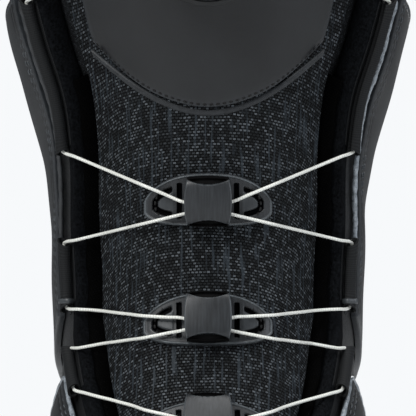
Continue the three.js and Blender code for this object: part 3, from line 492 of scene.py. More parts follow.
def sew(spread, side, distance, lift, body, count=160):
    """Adds a run of stitches at a distance from one side of a piece."""
    along_piece = np.linspace(0, 1, count)
    if side in "lr":
        margin = distance / spread.along
        v = mix(margin, 1 - margin, along_piece)
        u = np.full(count, distance / spread.across)
        u = 1 - u if side == "r" else u
    else:
        margin = distance / spread.across
        u = mix(margin, 1 - margin, along_piece)
        v = np.full(count, distance / spread.along)
        v = 1 - v if side == "t" else v
    s, turn = spread.at(u, v)
    stitch_run(body, s, turn, called(lift, s, turn) - GROOVE_DEPTH + SINK)


def stitch_run(body, s, turn, lift):
    place, out, *_ = frame_at(s, turn)
    SEAMS[body].append((place + out * np.broadcast_to(lift, s.shape)[..., None], out))


def tube_frames(points):
    """A sideways and an outward direction at each point of a path, without twist."""
    points = np.asarray(points, float)
    legs = unit(np.diff(points, axis=0))
    tangents = unit(np.vstack([legs[:1], legs[:-1] + legs[1:], legs[-1:]]))
    side = np.cross([0, 0, 1.0], tangents[0])
    if np.linalg.norm(side) < 0.1:
        side = np.cross([1.0, 0, 0], tangents[0])
    sides = []
    for tangent in tangents:
        side = unit(side - tangent * side.dot(tangent))
        sides.append(side)
    sides = np.array(sides)
    return points, sides, np.cross(tangents, sides), tangents


def circles(angle, u, v):
    """Directions round a path at each of its points."""
    return np.cos(angle)[None, :, None] * u[:, None] + np.sin(angle)[None, :, None] * v[:, None]


def swept(name, points, radius, material, sides=12):
    """A closed round cord along a path; its radius may change on the way."""
    points, u, v, _ = tube_frames(points)
    angle = circle(sides)
    radius = np.broadcast_to(radius, len(points))
    ring = circles(angle, u, v)
    rings = points[:, None] + ring * radius[:, None, None]
    run = run_of(points)
    uv = strip_uv(angle / (2 * np.pi) * 4, run)
    count = len(points)
    faces = ring_faces(count, sides)
    ends = np.vstack([points[0], points[-1]])
    first, last = count * sides, count * sides + 1
    for i in range(sides):
        k = (i + 1) % sides
        faces.append((first, k, i))
        faces.append((last, (count - 1) * sides + i, (count - 1) * sides + k))
    every = np.concatenate([rings.reshape(-1, 3), ends])
    uv = np.concatenate([uv, [[0, 0], [0, run[-1] * MM]]])
    return finished(name, every, faces, material, uv=uv)


def along_path(points, count):
    """Evenly spaced points on a smooth line through the given ones."""
    points = np.asarray(points, float)
    padded = np.vstack([2 * points[0] - points[1], points, 2 * points[-1] - points[-2]])
    fine = []
    for i in range(len(points) - 1):
        p, q, r, w = padded[i : i + 4]
        t = np.linspace(0, 1, 12, endpoint=False)[:, None]
        fine.append(curve(p, q, r, w, t))
    fine = np.vstack([*fine, points[-1:]])
    run = run_of(fine)
    want = np.linspace(0, run[-1], count)
    return np.stack([np.interp(want, run, fine[:, k]) for k in range(3)], -1)


def joined(name, pieces):
    """Several pieces made one mesh."""
    with bpy.context.temp_override(
        active_object=pieces[0], selected_editable_objects=pieces, object=pieces[0]
    ):
        bpy.ops.object.join()
    pieces[0].name = pieces[0].data.name = name
    return pieces[0]


def sewn(slot, name, *cut, body="boot", **more):
    """A panel hung on its body, for the frame's node of the same name."""
    return dress(panel(name, *cut, body=body, **more), body, slot, name)


def dress(piece, body, slot, *nodes):
    """Hangs a finished piece on its body, for the frame's nodes that it stands for. The slot is not used."""
    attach(piece, body)
    if nodes:
        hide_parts(*nodes)
        piece.name = piece.data.name = nodes[0] + "_made"
    return piece


# ---- finishes --------------------------------------------------------------
def blank(name, **shader):
    """A material with one shader; specular_ior_level and the like are the sockets' names in lower case."""
    material = bpy.data.materials.new(name)
    material.use_nodes = True
    tree = material.node_tree
    tree.nodes.clear()
    values = {key.replace("_", " ").title().replace("Ior", "IOR"): value for key, value in shader.items()}
    lit = add(tree, "ShaderNodeBsdfPrincipled", values)
    add(tree, "ShaderNodeOutputMaterial", {"Surface": lit.outputs[0]})
    return material, tree, lit


def finish_with(tree, lit, colour, height, depth_mm, roughness):
    """Joins a colour, a relief and a roughness that follows the relief to the shader."""
    rough = add(
        tree, "ShaderNodeMapRange", {"Value": height, "To Min": roughness[0], "To Max": roughness[1]}
    )
    bump = add(tree, "ShaderNodeBump", {"Height": height, "Distance": depth_mm * MM, "Strength": 1.0})
    for socket, value in (
        ("Base Color", colour), ("Roughness", rough.outputs[0]), ("Normal", bump.outputs[0])
    ):
        tree.links.new(value, lit.inputs[socket])


WEAR_MM = 1.6  # size of the patches in which an edge is rubbed


def mixed(tree, share, first, second):
    return add(tree, "ShaderNodeMix", {0: share, 6: first, 7: second}, data_type="RGBA").outputs[2]


def calc(tree, operation, first, second):
    return add(tree, "ShaderNodeMath", {0: first, 1: second}, operation=operation).outputs[0]


def ramp(tree, share, *stops):
    return add(tree, "ShaderNodeValToRGB", {"Fac": share}, stops=stops).outputs[0]


def noise(tree, where, mm, **more):
    """Noise of a size in mm; other sockets by their lower-case names."""
    sockets = {key.title(): value for key, value in more.items()}
    return add(tree, "ShaderNodeTexNoise", {"Vector": where, "Scale": 1 / (mm * MM), **sockets}).outputs


def moulded(
    name, tones, blotch_mm, grain_mm, depth_mm, roughness, cells=False, wear_and_highlight=None, stretch=None, **shader
):
    """A surface with slow colour changes and a fine grain; worn pale where rim is high, which on moulded edges
    is also a painted highlight, and painted black as shade where rim is low.
    """
    material, tree, lit = blank(name, **shader)
    where = add(tree, "ShaderNodeTexCoord").outputs["Object"]
    if stretch:
        where = add(tree, "ShaderNodeMapping", {"Vector": where, "Scale": stretch}).outputs[0]
    blotch = noise(tree, where, blotch_mm, detail=4.0, roughness=0.62)[0]
    colour = ramp(tree, blotch, (0.3, tones[0]), (0.7, tones[1]))
    kind = "ShaderNodeTexVoronoi" if cells else "ShaderNodeTexNoise"
    grain = add(tree, kind, {"Vector": where, "Scale": 1 / (grain_mm * MM)}).outputs[0]
    if wear_and_highlight:
        # A high rim mixes in the pale edge colour: edge wear, and on the guides' raised rims also a painted
        # highlight.
        rim = add(tree, "ShaderNodeAttribute", attribute_name="rim").outputs["Fac"]
        amount = calc(tree, "MULTIPLY", rim, noise(tree, where, WEAR_MM, detail=3.0)[0])
        colour = mixed(tree, amount, colour, linear(wear_and_highlight))
        # Painted shade: a rim below zero turns the colour near-black and the specular down, standing for the
        # shade in grooves and slots.
        sunk = add(tree, "ShaderNodeMapRange", {"Value": rim, "From Min": -0.1, "From Max": -0.8})
        colour = mixed(tree, sunk.outputs[0], colour, linear(PAINTED_SHADE_BLACK))
        shine = add(tree, "ShaderNodeMapRange", {"Value": sunk.outputs[0], "To Min": 0.45, "To Max": 0.02})
        tree.links.new(shine.outputs[0], lit.inputs["Specular IOR Level"])
    finish_with(tree, lit, colour, grain, depth_mm, roughness)
    return material


def woven(name, tones, bead_mm, row_mm, slub=None, depth_mm=0.12, roughness=(0.9, 0.55), **shader):
    """Cloth of thread floats laid like bricks, some of them catching the light, with thick slub threads."""
    material, tree, lit = blank(name, **shader)
    cut = add(tree, "ShaderNodeUVMap", uv_map="cut").outputs[0]
    drift = noise(tree, cut, 7, detail=2.0)
    moved = add(
        tree,
        "ShaderNodeVectorMath",
        {0: drift["Color"], 1: (1.1 * MM, 0.9 * MM, 0), 2: cut},
        operation="MULTIPLY_ADD",
    ).outputs[0]
    floats = add(
        tree,
        "ShaderNodeTexBrick",
        {
            "Vector": moved,
            "Color1": (0, 0, 0, 1),
            "Color2": (1, 1, 1, 1),
            "Mortar": (0, 0, 0, 1),
            "Scale": 1.0,
            "Mortar Size": 0.3 * row_mm * MM,
            "Mortar Smooth": 1.0,
            "Brick Width": bead_mm * MM,
            "Row Height": row_mm * MM,
        },
    )
    proud = calc(tree, "SUBTRACT", 1.0, floats.outputs["Fac"])
    bright = ramp(tree, floats.outputs["Color"], (0.0, tones[1]), (0.5, tones[2]), (1.0, tones[3]))
    colour = mixed(tree, proud, linear(tones[0]), bright)
    height = proud
    if slub:
        across, along, colour_of = slub
        scale = (1 / (across * MM), 1 / (along * MM), 1)
        stretched = add(tree, "ShaderNodeMapping", {"Vector": cut, "Scale": scale})
        threads = add(
            tree, "ShaderNodeTexNoise", {"Vector": stretched.outputs[0], "Scale": 1.0, "Detail": 1.0}
        )
        spread = {"Value": threads.outputs[0], "From Min": 0.55, "From Max": 0.66}
        thick = add(tree, "ShaderNodeMapRange", spread).outputs[0]
        colour = mixed(tree, calc(tree, "MULTIPLY", thick, 0.6), colour, linear(colour_of))
        height = calc(tree, "MAXIMUM", proud, thick)
    finish_with(tree, lit, colour, height, depth_mm, roughness)
    return material


def ribbed(name, tones, rib_mm, depth_mm, roughness, direction="Y", **shader):
    """Tape, webbing or cable with ribs across its run."""
    material, tree, lit = blank(name, **shader)
    cut = add(tree, "ShaderNodeUVMap", uv_map="cut").outputs[0]
    ribs = add(
        tree,
        "ShaderNodeTexWave",
        {"Vector": cut, "Scale": 0.31416 / (rib_mm * MM), "Distortion": 0.6, "Detail": 1.0},
        bands_direction=direction,
    ).outputs["Fac"]
    both = calc(tree, "MULTIPLY", ribs, noise(tree, cut, 0.35, detail=3.0)[0])
    colour = ramp(tree, both, (0.08, tones[0]), (0.55, tones[1]))
    finish_with(tree, lit, colour, both, depth_mm, roughness)
    return material


# A jacquard of matt polyester with bright trilobal floats: small beads of light in rows, 1.28 by 0.96 mm,
# which is about twice the real thread spacing so that it still shows.
TONGUE_CLOTH = woven(
    "jacquard_polyester",
    ("#020203", "#0f1112", "#1f2224", "#575c60"),
    1.28,
    0.96,
    slub=(1.1, 16.0, "#30373d"),
    depth_mm=0.2,
    specular_ior_level=0.15,
)
# Full-grain leather, drum-dyed black: a pebble of small cells, and cut edges rubbed to grey.
GRAIN_LEATHER = moulded(
    "full_grain_leather", ("#0b0c0d", "#141517"), 14, 0.75, 0.07, (0.42, 0.6), cells=True,
    wear_and_highlight="#33373a", specular_ior_level=0.3,
)
# Corrected leather with a satin top coat: nearly smooth, so the soft boxes show as broad highlights.
SMOOTH_LEATHER = moulded(
    "coated_smooth_leather",
    ("#0d0e10", "#17191b"),
    24,
    0.6,
    0.035,
    (0.32, 0.46),
    wear_and_highlight="#33373b",
    specular_ior_level=0.35,
)
# Rolled patent piping, light grey: a glossy film over a cord, wrinkled along its run.
PATENT_PIPING = moulded(
    "rolled_patent_piping", ("#434a50", "#a3abb2"), 1.8, 1.1, 0.3, (0.2, 0.38),
    coat_weight=0.6, coat_roughness=0.15,
)
# Rolled edge of the tongue's patch: the same leather turned over a cord, a little greyer.
ROLLED_EDGE = moulded(
    "rolled_leather_edge", ("#1c1e20", "#2c2f32"), 2.4, 0.7, 0.05, (0.4, 0.55), specular_ior_level=0.35
)
DARK_PIPING = moulded(
    "rolled_leather_piping", ("#17191b", "#2d3033"), 3.2, 1.3, 0.16, (0.35, 0.55), coat_weight=0.2
)
# Brushed pile binding on raw edges: very dark with stray light fibres.
BRUSHED_BINDING = moulded(
    "brushed_pile_binding", ("#010101", "#15171a"), 0.8, 0.35, 0.2, (0.95, 0.8), specular_ior_level=0.05
)
# Grosgrain tape: flat ribs a bit lighter than the leather.
GROSGRAIN = ribbed(
    "grosgrain_tape", ("#17191a", "#3b3f42"), 0.8, 0.08, (0.85, 0.6), specular_ior_level=0.25
)
# Tubular nylon webbing: close ribs with a soft shine.
NYLON_WEBBING = ribbed(
    "tubular_nylon_webbing", ("#0c0d0e", "#1c1e20"), 0.7, 0.05, (0.75, 0.55), specular_ior_level=0.25
)
# Glass-filled nylon, moulded and drawn from its tool upwards: a grey with fine upright streaks.
GLASS_NYLON = moulded(
    "glass_filled_nylon",
    ("#191b1d", "#2e3134"),
    0.7,
    0.5,
    0.012,
    (0.32, 0.48),
    stretch=(1.0, 0.4, 0.07),
    # pale edges: wear, and a painted highlight along the guides' raised rims
    wear_and_highlight="#6b7276",
)
# Painted shade: a near-black finish for the inside of a moulding, where no light box is reflected.
NYLON_RECESS_SHADE = moulded(
    "nylon_recess_painted_shade", ("#020202", "#060607"), 3, 0.4, 0.02, (0.6, 0.75), specular_ior_level=0.1
)
# Nylon-coated stainless cable: an off-white satin skin in which the strands show as a fine slant.
COATED_CABLE = ribbed(
    "coated_steel_cable", ("#d8d9d2", "#eeefe8"), 0.9, 0.006, (0.36, 0.3), coat_weight=0.2
)
# Rubbers and foams of the sole: dull, the foam a little lighter, each rubbed paler on its edges.
TREAD_RUBBER = moulded(
    "moulded_tread_rubber", ("#0f1011", "#1a1b1d"), 22, 0.5, 0.04, (0.72, 0.86), wear_and_highlight="#2b2d2f"
)
TOE_RUBBER = moulded(
    "abrasion_toe_rubber", ("#111213", "#191a1c"), 18, 0.9, 0.07, (0.55, 0.72), cells=True, wear_and_highlight="#36393c"
)
EVA_FOAM = moulded("moulded_eva_foam", ("#191a1c", "#242628"), 30, 0.7, 0.05, (0.7, 0.82), wear_and_highlight="#3a3d40")
HEEL_TPU = moulded(
    "injected_polyurethane", ("#17181a", "#222427"), 26, 0.35, 0.02, (0.3, 0.42), wear_and_highlight="#3c4044"
)
# Linings: pile that returns almost no light, a tricot with faint floats, and a coated cloth kept dark. The pile
# and the coated gusset cloth are black cloth made nearly lightless, partly as painted shade in the gaps beside
# the tongue.
FLEECE_AND_SHADE = moulded(
    "brushed_fleece_and_painted_shade", ("#010101", "#030304"), 1.4, 0.5, 0.25, (0.97, 0.9), specular_ior_level=0.02
)
LINER_CLOTH = woven(
    "laminated_tricot", ("#0b0c0d", "#131416", "#1e2022", "#33363a"), 1.1, 0.8, depth_mm=0.12,
    specular_ior_level=0.15,
)
GUSSET_SHADE_CLOTH = woven(
    "gusset_cloth_painted_shade", ("#010101", "#020202", "#030303", "#050506"), 1.0, 0.8, depth_mm=0.06,
    specular_ior_level=0.02,
)
FOOTBED_FOAM = moulded("die_cut_eva", ("#6d7175", "#85898d"), 9, 0.8, 0.08, (0.8, 0.9))
# Threads: grey and slightly waxy on the panels; where they lie sunk in a groove or a needle pit the same thread
# is painted black, as shade.
THREAD = moulded("bonded_nylon_thread", ("#2c3033", "#474c51"), 1.2, 0.3, 0.03, (0.5, 0.6))
SHADED_THREAD = moulded("thread_painted_shade_black", ("#020202", "#070708"), 1.2, 0.3, 0.03, (0.8, 0.9))
# The dial's own stuff: satin plastic, dull grip rubber and bright turned steel.
DIAL_PLASTIC = moulded("moulded_abs", ("#141517", "#1b1d1f"), 20, 0.3, 0.014, (0.4, 0.5), wear_and_highlight="#3a3d41")
GRIP_RUBBER = moulded("overmoulded_grip_rubber", ("#101112", "#191b1c"), 16, 0.4, 0.03, (0.7, 0.82))
STEEL = moulded("turned_stainless_steel", ("#b9bcc0", "#d2d5d8"), 5, 0.2, 0.006, (0.24, 0.34), metallic=1.0)
# Hidden parts, seen only when the boot is taken apart.
FIBRE_BOARD = moulded("pressed_fibre_board", ("#5c5546", "#7a7160"), 3, 0.5, 0.05, (0.85, 0.95))
SHANK_COMPOSITE = moulded(
    "pultruded_carbon_composite", ("#141617", "#26292b"), 1.2, 0.4, 0.02, (0.3, 0.42), stretch=(1, 0.1, 1)
)
GEL = moulded("cast_gel", ("#4d5258", "#666c73"), 12, 3, 0.02, (0.16, 0.24))
FLOOR_PAINT = moulded("painted_floor", ("#d9dbdd", "#dfe1e2"), 300, 2, 0.02, (0.6, 0.7))
WINDING_CABLE = ribbed("wound_steel_cable", ("#8d8f89", "#e2e3dc"), 1.2, 0.3, (0.34, 0.26))

set_camera()
set_world()
set_lights()


turn = circle(96)
rim = np.stack([np.cos(turn), np.sin(turn), 0 * turn], -1) * FLOOR_RADIUS / MM
floor = finished("floor", rim, [tuple(range(96))], FLOOR_PAINT)

# ---- the upper -------------------------------------------------------------
CREASE_SEED = 7
waves = np.random.default_rng(CREASE_SEED)
CREASES = [(waves.uniform(0.2, 0.55), waves.uniform(0, 6.28), waves.uniform(-0.4, 0.4)) for _ in range(6)]


def worn_in(s, turn, u, v):
    """Soft waves in the leather, a fraction of a millimetre high."""
    height = sum(np.sin(f * v * 0.5 + phase + tilt * u * 0.12) for f, phase, tilt in CREASES)
    return 0.07 * height


def vamp_creases(s, turn, u, v):
    """Folds across the vamp where the toes bend, deepest on top of the foot."""
    top = 1 - smooth(40, 95, np.abs(turn))
    folds = sum(
        depth * np.exp(-(((s - place - 0.0006 * turn**2 * sign) / width) ** 2))
        for place, width, depth, sign in ((4.35, 0.09, 0.5, 1), (4.72, 0.1, 0.6, -1), (5.02, 0.08, 0.35, 1))
    )
    return worn_in(s, turn, u, v) - folds * top


def toe_ribs(s, turn, u, v):
    return 0.25 * np.cos(v * 2 * np.pi / 6.0) * smooth(6, 12, v) * (1 - smooth(0.62, 0.7, s / 3.4))


SIDES = {"lateral": 1, "medial": -1}


def sided(side, low, high):
    """The two ends of a piece on one side, in turning order."""
    if side > 0:
        return low, high
    return (lambda s: -called(high, s)), (lambda s: -called(low, s))


def sided_turn(side, low, high):
    return (low, high) if side > 0 else (-high, -low)


def front(side):
    """Which side of a piece faces the opening."""
    return "l" if side > 0 else "r"


def back(side):
    return "r" if side > 0 else "l"


sewn(
    "upper_leather", "vamp", (0.0, 5.97), (-TUCK_TURN, TUCK_TURN), (0.0, SKIN), GRAIN_LEATHER,
    seams=[("t", 2.6), ("t", 4.8)],
    relief=vamp_creases,
    rounded="t",
)
sewn(
    "toe_rubber", "toe_cap", (0.0, lambda turn: 2.5 + 0.9 * smooth(30, 100, np.abs(turn))), (-114, 114),
    OVERLAY_LIFT, TOE_RUBBER,
    seams=[("t", 2.4)],
    rounded="lrt",
    relief=toe_ribs,
)


def counter_turn(turn):
    return 180 - np.abs(180 - turn)


sewn(
    "counter_plastic", "heel_counter",
    (
        lambda turn: mix(9.4, 10.6, smooth(112, 176, counter_turn(turn))),
        lambda turn: mix(10.2, 12.1, smooth(112, 172, counter_turn(turn))),
    ),
    (112, 248), (SKIN + 0.9, SKIN + 0.9 + OVERLAY), HEEL_TPU,
    edge=1.0,
    relief=lambda s, turn, u, v: -0.7 * np.exp(-(((v % 9.0 - 4.5) / 0.8) ** 2)) * smooth(6, 12, v),
)
sewn(
    "smooth_leather", "backstay", (12.45, SHELL_TOP + 0.1), (TUCK_TURN + 4, 360 - TUCK_TURN - 4),
    OVERLAY_LIFT, SMOOTH_LEATHER,
    seams=[("l", 2.2), ("r", 2.2), ("b", 2.2), ("l", 4.2), ("r", 4.2)],
)
LOOP_FOOT, LOOP_HEAD, LOOP_ARCH = 13.6, 15.5, 12.0
LOOP_HALF_TURN = math.degrees(10 / 62)


def loop_lift(extra):
    base = SKIN + OVERLAY + 2 * FIT_GAP + extra

    def lift(s, turn):
        share = clamp01((s - LOOP_FOOT) / (LOOP_HEAD - LOOP_FOOT))
        return base + LOOP_ARCH * np.sin(np.pi * share) ** 0.7

    return lift


sewn(
    "webbing", "heel_loop", (LOOP_FOOT, LOOP_HEAD), (180 - LOOP_HALF_TURN, 180 + LOOP_HALF_TURN),
    (loop_lift(0), loop_lift(2.2)), NYLON_WEBBING,
    edge=0.7,
    step=1.0,
    rounded="lr",
    seams=[("l", 2.0), ("r", 2.0)],
)

PIPE_STATIONS = np.linspace(15.8, 11.1, 90)


def cuff_piping(side, name):
    """A rolled trim that wanders a little, as it does where the leather under it is worn in."""
    s = PIPE_STATIONS
    wander = 0.9 * np.sin(s * 5.2) + 0.5 * np.sin(s * 11.7 + 1)
    turn = throat_turn(s) + PIPING_TURN + (0.35 if side > 0 else 0.1) * wander
    points = on_last(s, side * turn, SKIN + PIPED + 0.5)
    lumps = 1 + 0.1 * np.sin(s * 23) + 0.06 * np.sin(s * 41 + 2)
    ends = np.sqrt(clamp01(1 - np.maximum(0, np.abs(np.linspace(-1, 1, len(s))) - 0.97) / 0.03))
    finish = PATENT_PIPING if side > 0 else DARK_PIPING
    return swept(f"cuff_piping_{name}", points, PIPED * lumps * np.maximum(ends, 0.2), finish, sides=14)


SIDE_FOOT, SIDE_TOP = 6.8, 9.6


def side_rear(s):
    return mix(84, 104, smooth(SIDE_FOOT, SIDE_TOP, s))


def side_piping(side, name):
    """A thin pale roll up the side panel's front edge, round its corner and back along its top."""
    up = np.linspace(SIDE_FOOT + 0.15, SIDE_TOP - 0.1, 40)
    corner = throat_turn(SIDE_TOP) + 6.1
    across = np.linspace(corner + 2.5, side_rear(SIDE_TOP) - 3, 30)
    s = np.concatenate([up, [SIDE_TOP + 0.03], np.full(30, SIDE_TOP + 0.06)])
    turn = np.concatenate([throat_turn(up) + 6.0, [corner + 0.6], across])
    points = along_path(on_last(s, side * turn, OVERLAY_LIFT[1] - 0.1), 140)
    share = np.linspace(0, 1, 140)
    lumps = 0.75 * (1 + 0.1 * np.sin(share * 150) + 0.06 * np.sin(share * 67 + 1))
    ends = np.clip(np.minimum(share, 1 - share) * 60, 0.2, 1)
    return swept(f"side_piping_{name}", points, lumps * ends, PATENT_PIPING)


for name, side in SIDES.items():
    f, b = front(side), back(side)
    sewn(
        "upper_leather", f"quarter_{name}", (6.03, SHELL_TOP), sided(side, throat_turn, under_turn),
        (0.0, SKIN), GRAIN_LEATHER,
        seams=[("b", 2.4)],
        relief=worn_in,
    )
    sewn(
        "smooth_leather", f"side_panel_{name}", (SIDE_FOOT, SIDE_TOP),
        sided(side, lambda s: throat_turn(s) + 6.4, side_rear),
        tuple(lift + 0.4 for lift in OVERLAY_LIFT), SMOOTH_LEATHER,
        seams=[(f, 2.2), (f, 4.4), ("t", 2.2), ("t", 4.4), (b, 2.0), ("b", 2.0)],
        relief=worn_in,
    )
    dress(side_piping(side, name), "boot", "piping")
    sewn(
        "smooth_leather", f"cuff_panel_{name}",
        (lambda turn: mix(11.1, 12.5, smooth(60, 150, np.abs(turn))), SHELL_TOP - 0.1),
        sided_turn(side, THROAT_TURN + PIPING_TURN + 2.4, TUCK_TURN), OVERLAY_LIFT, SMOOTH_LEATHER,
        seams=[(f, 1.8), (f, 4.6), ("b", 2.0), ("b", 4.0), (b, 2.2), ("t", 2.2)],
        relief=worn_in,
    )
    dress(cuff_piping(side, name), "boot", "piping", f"cuff_piping_{name}")
    sewn(
        "lining_fabric", f"lining_{name}", (7.0, SHELL_TOP + 0.15),
        sided(side, lambda s: throat_turn(s) + 1, lambda s: mix(135, 178.5, clamp01((s - 9.5) / 1.5))),
        (-FIT_GAP - PADDING, -FIT_GAP - 0.15), FLEECE_AND_SHADE,
        edge=0.5,
        step=4,
    )


# ---- edgings ---------------------------------------------------------------
def edging(name, s, turn, toward, section, material):
    """A folded tape over a raw edge. The section is (mm past the edge, lift), and toward is 'turn' or 's'."""
    place, out, up, round_leg, _ = frame_at(s, turn)
    away = round_leg if toward == "turn" else up
    section = np.array(section, float)
    rings = place[:, None] + away[:, None] * section[None, :, :1] + out[:, None] * section[None, :, 1:]
    count, sides = rings.shape[:2]
    faces = ring_faces(count, sides)
    faces += [tuple(range(sides))[::-1], tuple((count - 1) * sides + i for i in range(sides))]
    run = run_of(place)
    girth = np.linspace(0, np.linalg.norm(np.diff(section, axis=0), axis=1).sum(), sides)
    uv = strip_uv(girth, run)
    return outwards(finished(name, rings.reshape(-1, 3), faces, material, uv=uv))


BOUND_LIFTS = (SKIN + 0.45, -PADDING - FIT_GAP - 0.45)  # over the leather, and under the lining


def fold_section(over, under, reach_out, reach_in, thickness, bulge):
    """A U round an edge: over is its top face's lift, under its bottom's, with a rounded nose."""
    nose = [
        (bulge * math.cos(a), mix(under, over, 0.5 + 0.5 * math.sin(a)))
        for a in np.linspace(-math.pi / 2, math.pi / 2, 9)
    ]
    outer = [(-reach_in, under), *nose, (-reach_out, over)]
    top, bottom = over - thickness, under + thickness
    return [*outer, (-reach_out, top), (-0.1, top), (-0.1, bottom), (-reach_in, bottom)]


for name, side in SIDES.items():
    rows = np.linspace(6.5, 16.05, 120)
    fold = fold_section(*BOUND_LIFTS, 3.4, 2.6, 0.35, 1.1)
    dress(
        edging(
            f"throat_binding_{name}",
            rows,
            side * (throat_turn(rows) + 0.2),
            "turn",
            [(-side * a, lift) for a, lift in fold],
            BRUSHED_BINDING,
        ),
        "boot",
        "lining_fabric",
    )
    turns = side * np.linspace(THROAT_TURN + 0.6, 178.9, 120)
    collar = fold_section(*BOUND_LIFTS, 2.4, 3.2, 0.35, 1.3)
    dress(
        edging(f"collar_binding_{name}", np.full(120, 16.14), turns, "s", collar, GROSGRAIN),
        "boot",
        "binding",
    )

# ---- the tongue ------------------------------------------------------------
def tongue_lift(above):
    return lambda s, turn: tongue_face(s, turn) + above


def tongue_puff(s, turn, u, v):
    """The padding's slight waves down the middle of the tongue, fading towards its sides."""
    return 0.12 * np.sin(v * 2 * np.pi / 38) * (1 - smooth(20, 40, np.abs(turn)))


tongue = panel(
    "tongue",
    (6.35, TONGUE_TOP),
    (lambda s: -tongue_turn(s), tongue_turn),
    (TONGUE_FLOOR, tongue_lift(0)),
    TONGUE_CLOTH,
    body="tongue_assembly",
    edge=1.6,
    step=1.6,
    relief=tongue_puff,
)
dress(tongue, "tongue_assembly", "tongue_fabric", "tongue")

PIT_INSET = 1.0
sewn(
    "smooth_leather", "tongue_patch", (patch_foot, TONGUE_TOP - 0.1), (-PATCH_TURN, PATCH_TURN),
    (tongue_lift(0.25), tongue_lift(SEAT + PATCH_SKIN)), SMOOTH_LEATHER,
    body="tongue_assembly",
    edge=0.7,
    step=1.6,
    relief=lambda s, turn, u, v: -0.35 * np.exp(-(((v - PIT_INSET) / 0.5) ** 2)),
)
EDGE_TURNS = np.linspace(-PATCH_TURN + 1, PATCH_TURN - 1, 160)
RISE_AT_PATCH = 17.3  # mm for each station there
edge_stations = patch_foot(EDGE_TURNS) - 0.115
dress(
    edging(
        "patch_binding",
        edge_stations,
        EDGE_TURNS,
        "s",
        [(1.3 * math.cos(a), 2.0 + 0.75 * math.sin(a)) for a in circle(14)],
        ROLLED_EDGE,
    ),
    "tongue_assembly",
    "binding",
    "patch_binding",
)

# ---- crossing guides -------------------------------------------------------
GUIDE_STATIONS = (11.47, 9.44, 7.75)
GUIDE_HALF, GUIDE_HALF_HEIGHT, FLANGE = 19.5, 8.8, 1.8
BRIDGE_HALF, BRIDGE_HALF_HEIGHT = 7.6, 8.2
BRIDGE_ROOF_HEIGHT = 6.5
TUNNEL_DEPTH, TUNNEL_HALF_HEIGHT = 3.6, 5.2
STRAND_SPREAD, STRAND_DROP = 2.1, 2.2
STRAND_LIFTS = (1.05, 2.65)
LACE_RADIUS = 0.55
CAD_LACE_RADIUS = 0.6


def turn_at_x(s, x):
    turn = x / 50 * 60
    for _ in range(5):
        turn = turn - (form(s, turn)[..., 0] - x) / (
            form(s, turn + 0.5)[..., 0] - form(s, turn - 0.5)[..., 0]
        )
    return turn


def across_guide(station, x, h):
    s = station + h / frame_at(np.float64(station), 0.0)[4]
    return s, turn_at_x(s, x)


def on_tongue(station, x, h, above):
    """A place on the tongue, x across and h up from a guide's middle."""
    x, h = np.broadcast_arrays(np.asarray(x, float), np.asarray(h, float))
    s, turn = across_guide(station, x, h)
    return on_last(s, turn, tongue_face(s, turn) + above)


def bridge_frame(station):
    place, out, up, _, _ = frame_at(np.float64(station), 0.0)
    feet = [on_tongue(station, 0.0, k * BRIDGE_HALF_HEIGHT, SEAT + FLANGE) for k in (-1, 0, 1)]
    lift = max(float((foot - place) @ out) for foot in feet) + 0.3
    return place + out * lift, out, up


def wing_half(x):
    return GUIDE_HALF_HEIGHT * (1 - (np.abs(x) / (GUIDE_HALF + 0.4)) ** 2.6) ** 0.52


def wing_inset(x, h):
    """Distance in from the wing's outline."""
    edge_x = np.linspace(-GUIDE_HALF, GUIDE_HALF, 240)
    line = np.concatenate([
        np.stack([edge_x, wing_half(edge_x)], -1),
        np.stack([edge_x, -wing_half(edge_x)], -1),
        [[sign * GUIDE_HALF, k] for sign in (-1, 1) for k in np.linspace(-1, 1, 9) * wing_half(GUIDE_HALF)],
    ])
    gap = np.hypot(x[..., None] - line[:, 0], h[..., None] - line[:, 1])
    return gap.min(-1)


GROOVE_STITCHES = []
RIM_WIDTH, GROOVE_AT, GROOVE_HALF, SLOT_X, SLOT_HALF = 1.1, 3.5, 0.8, 8.7, 6.0


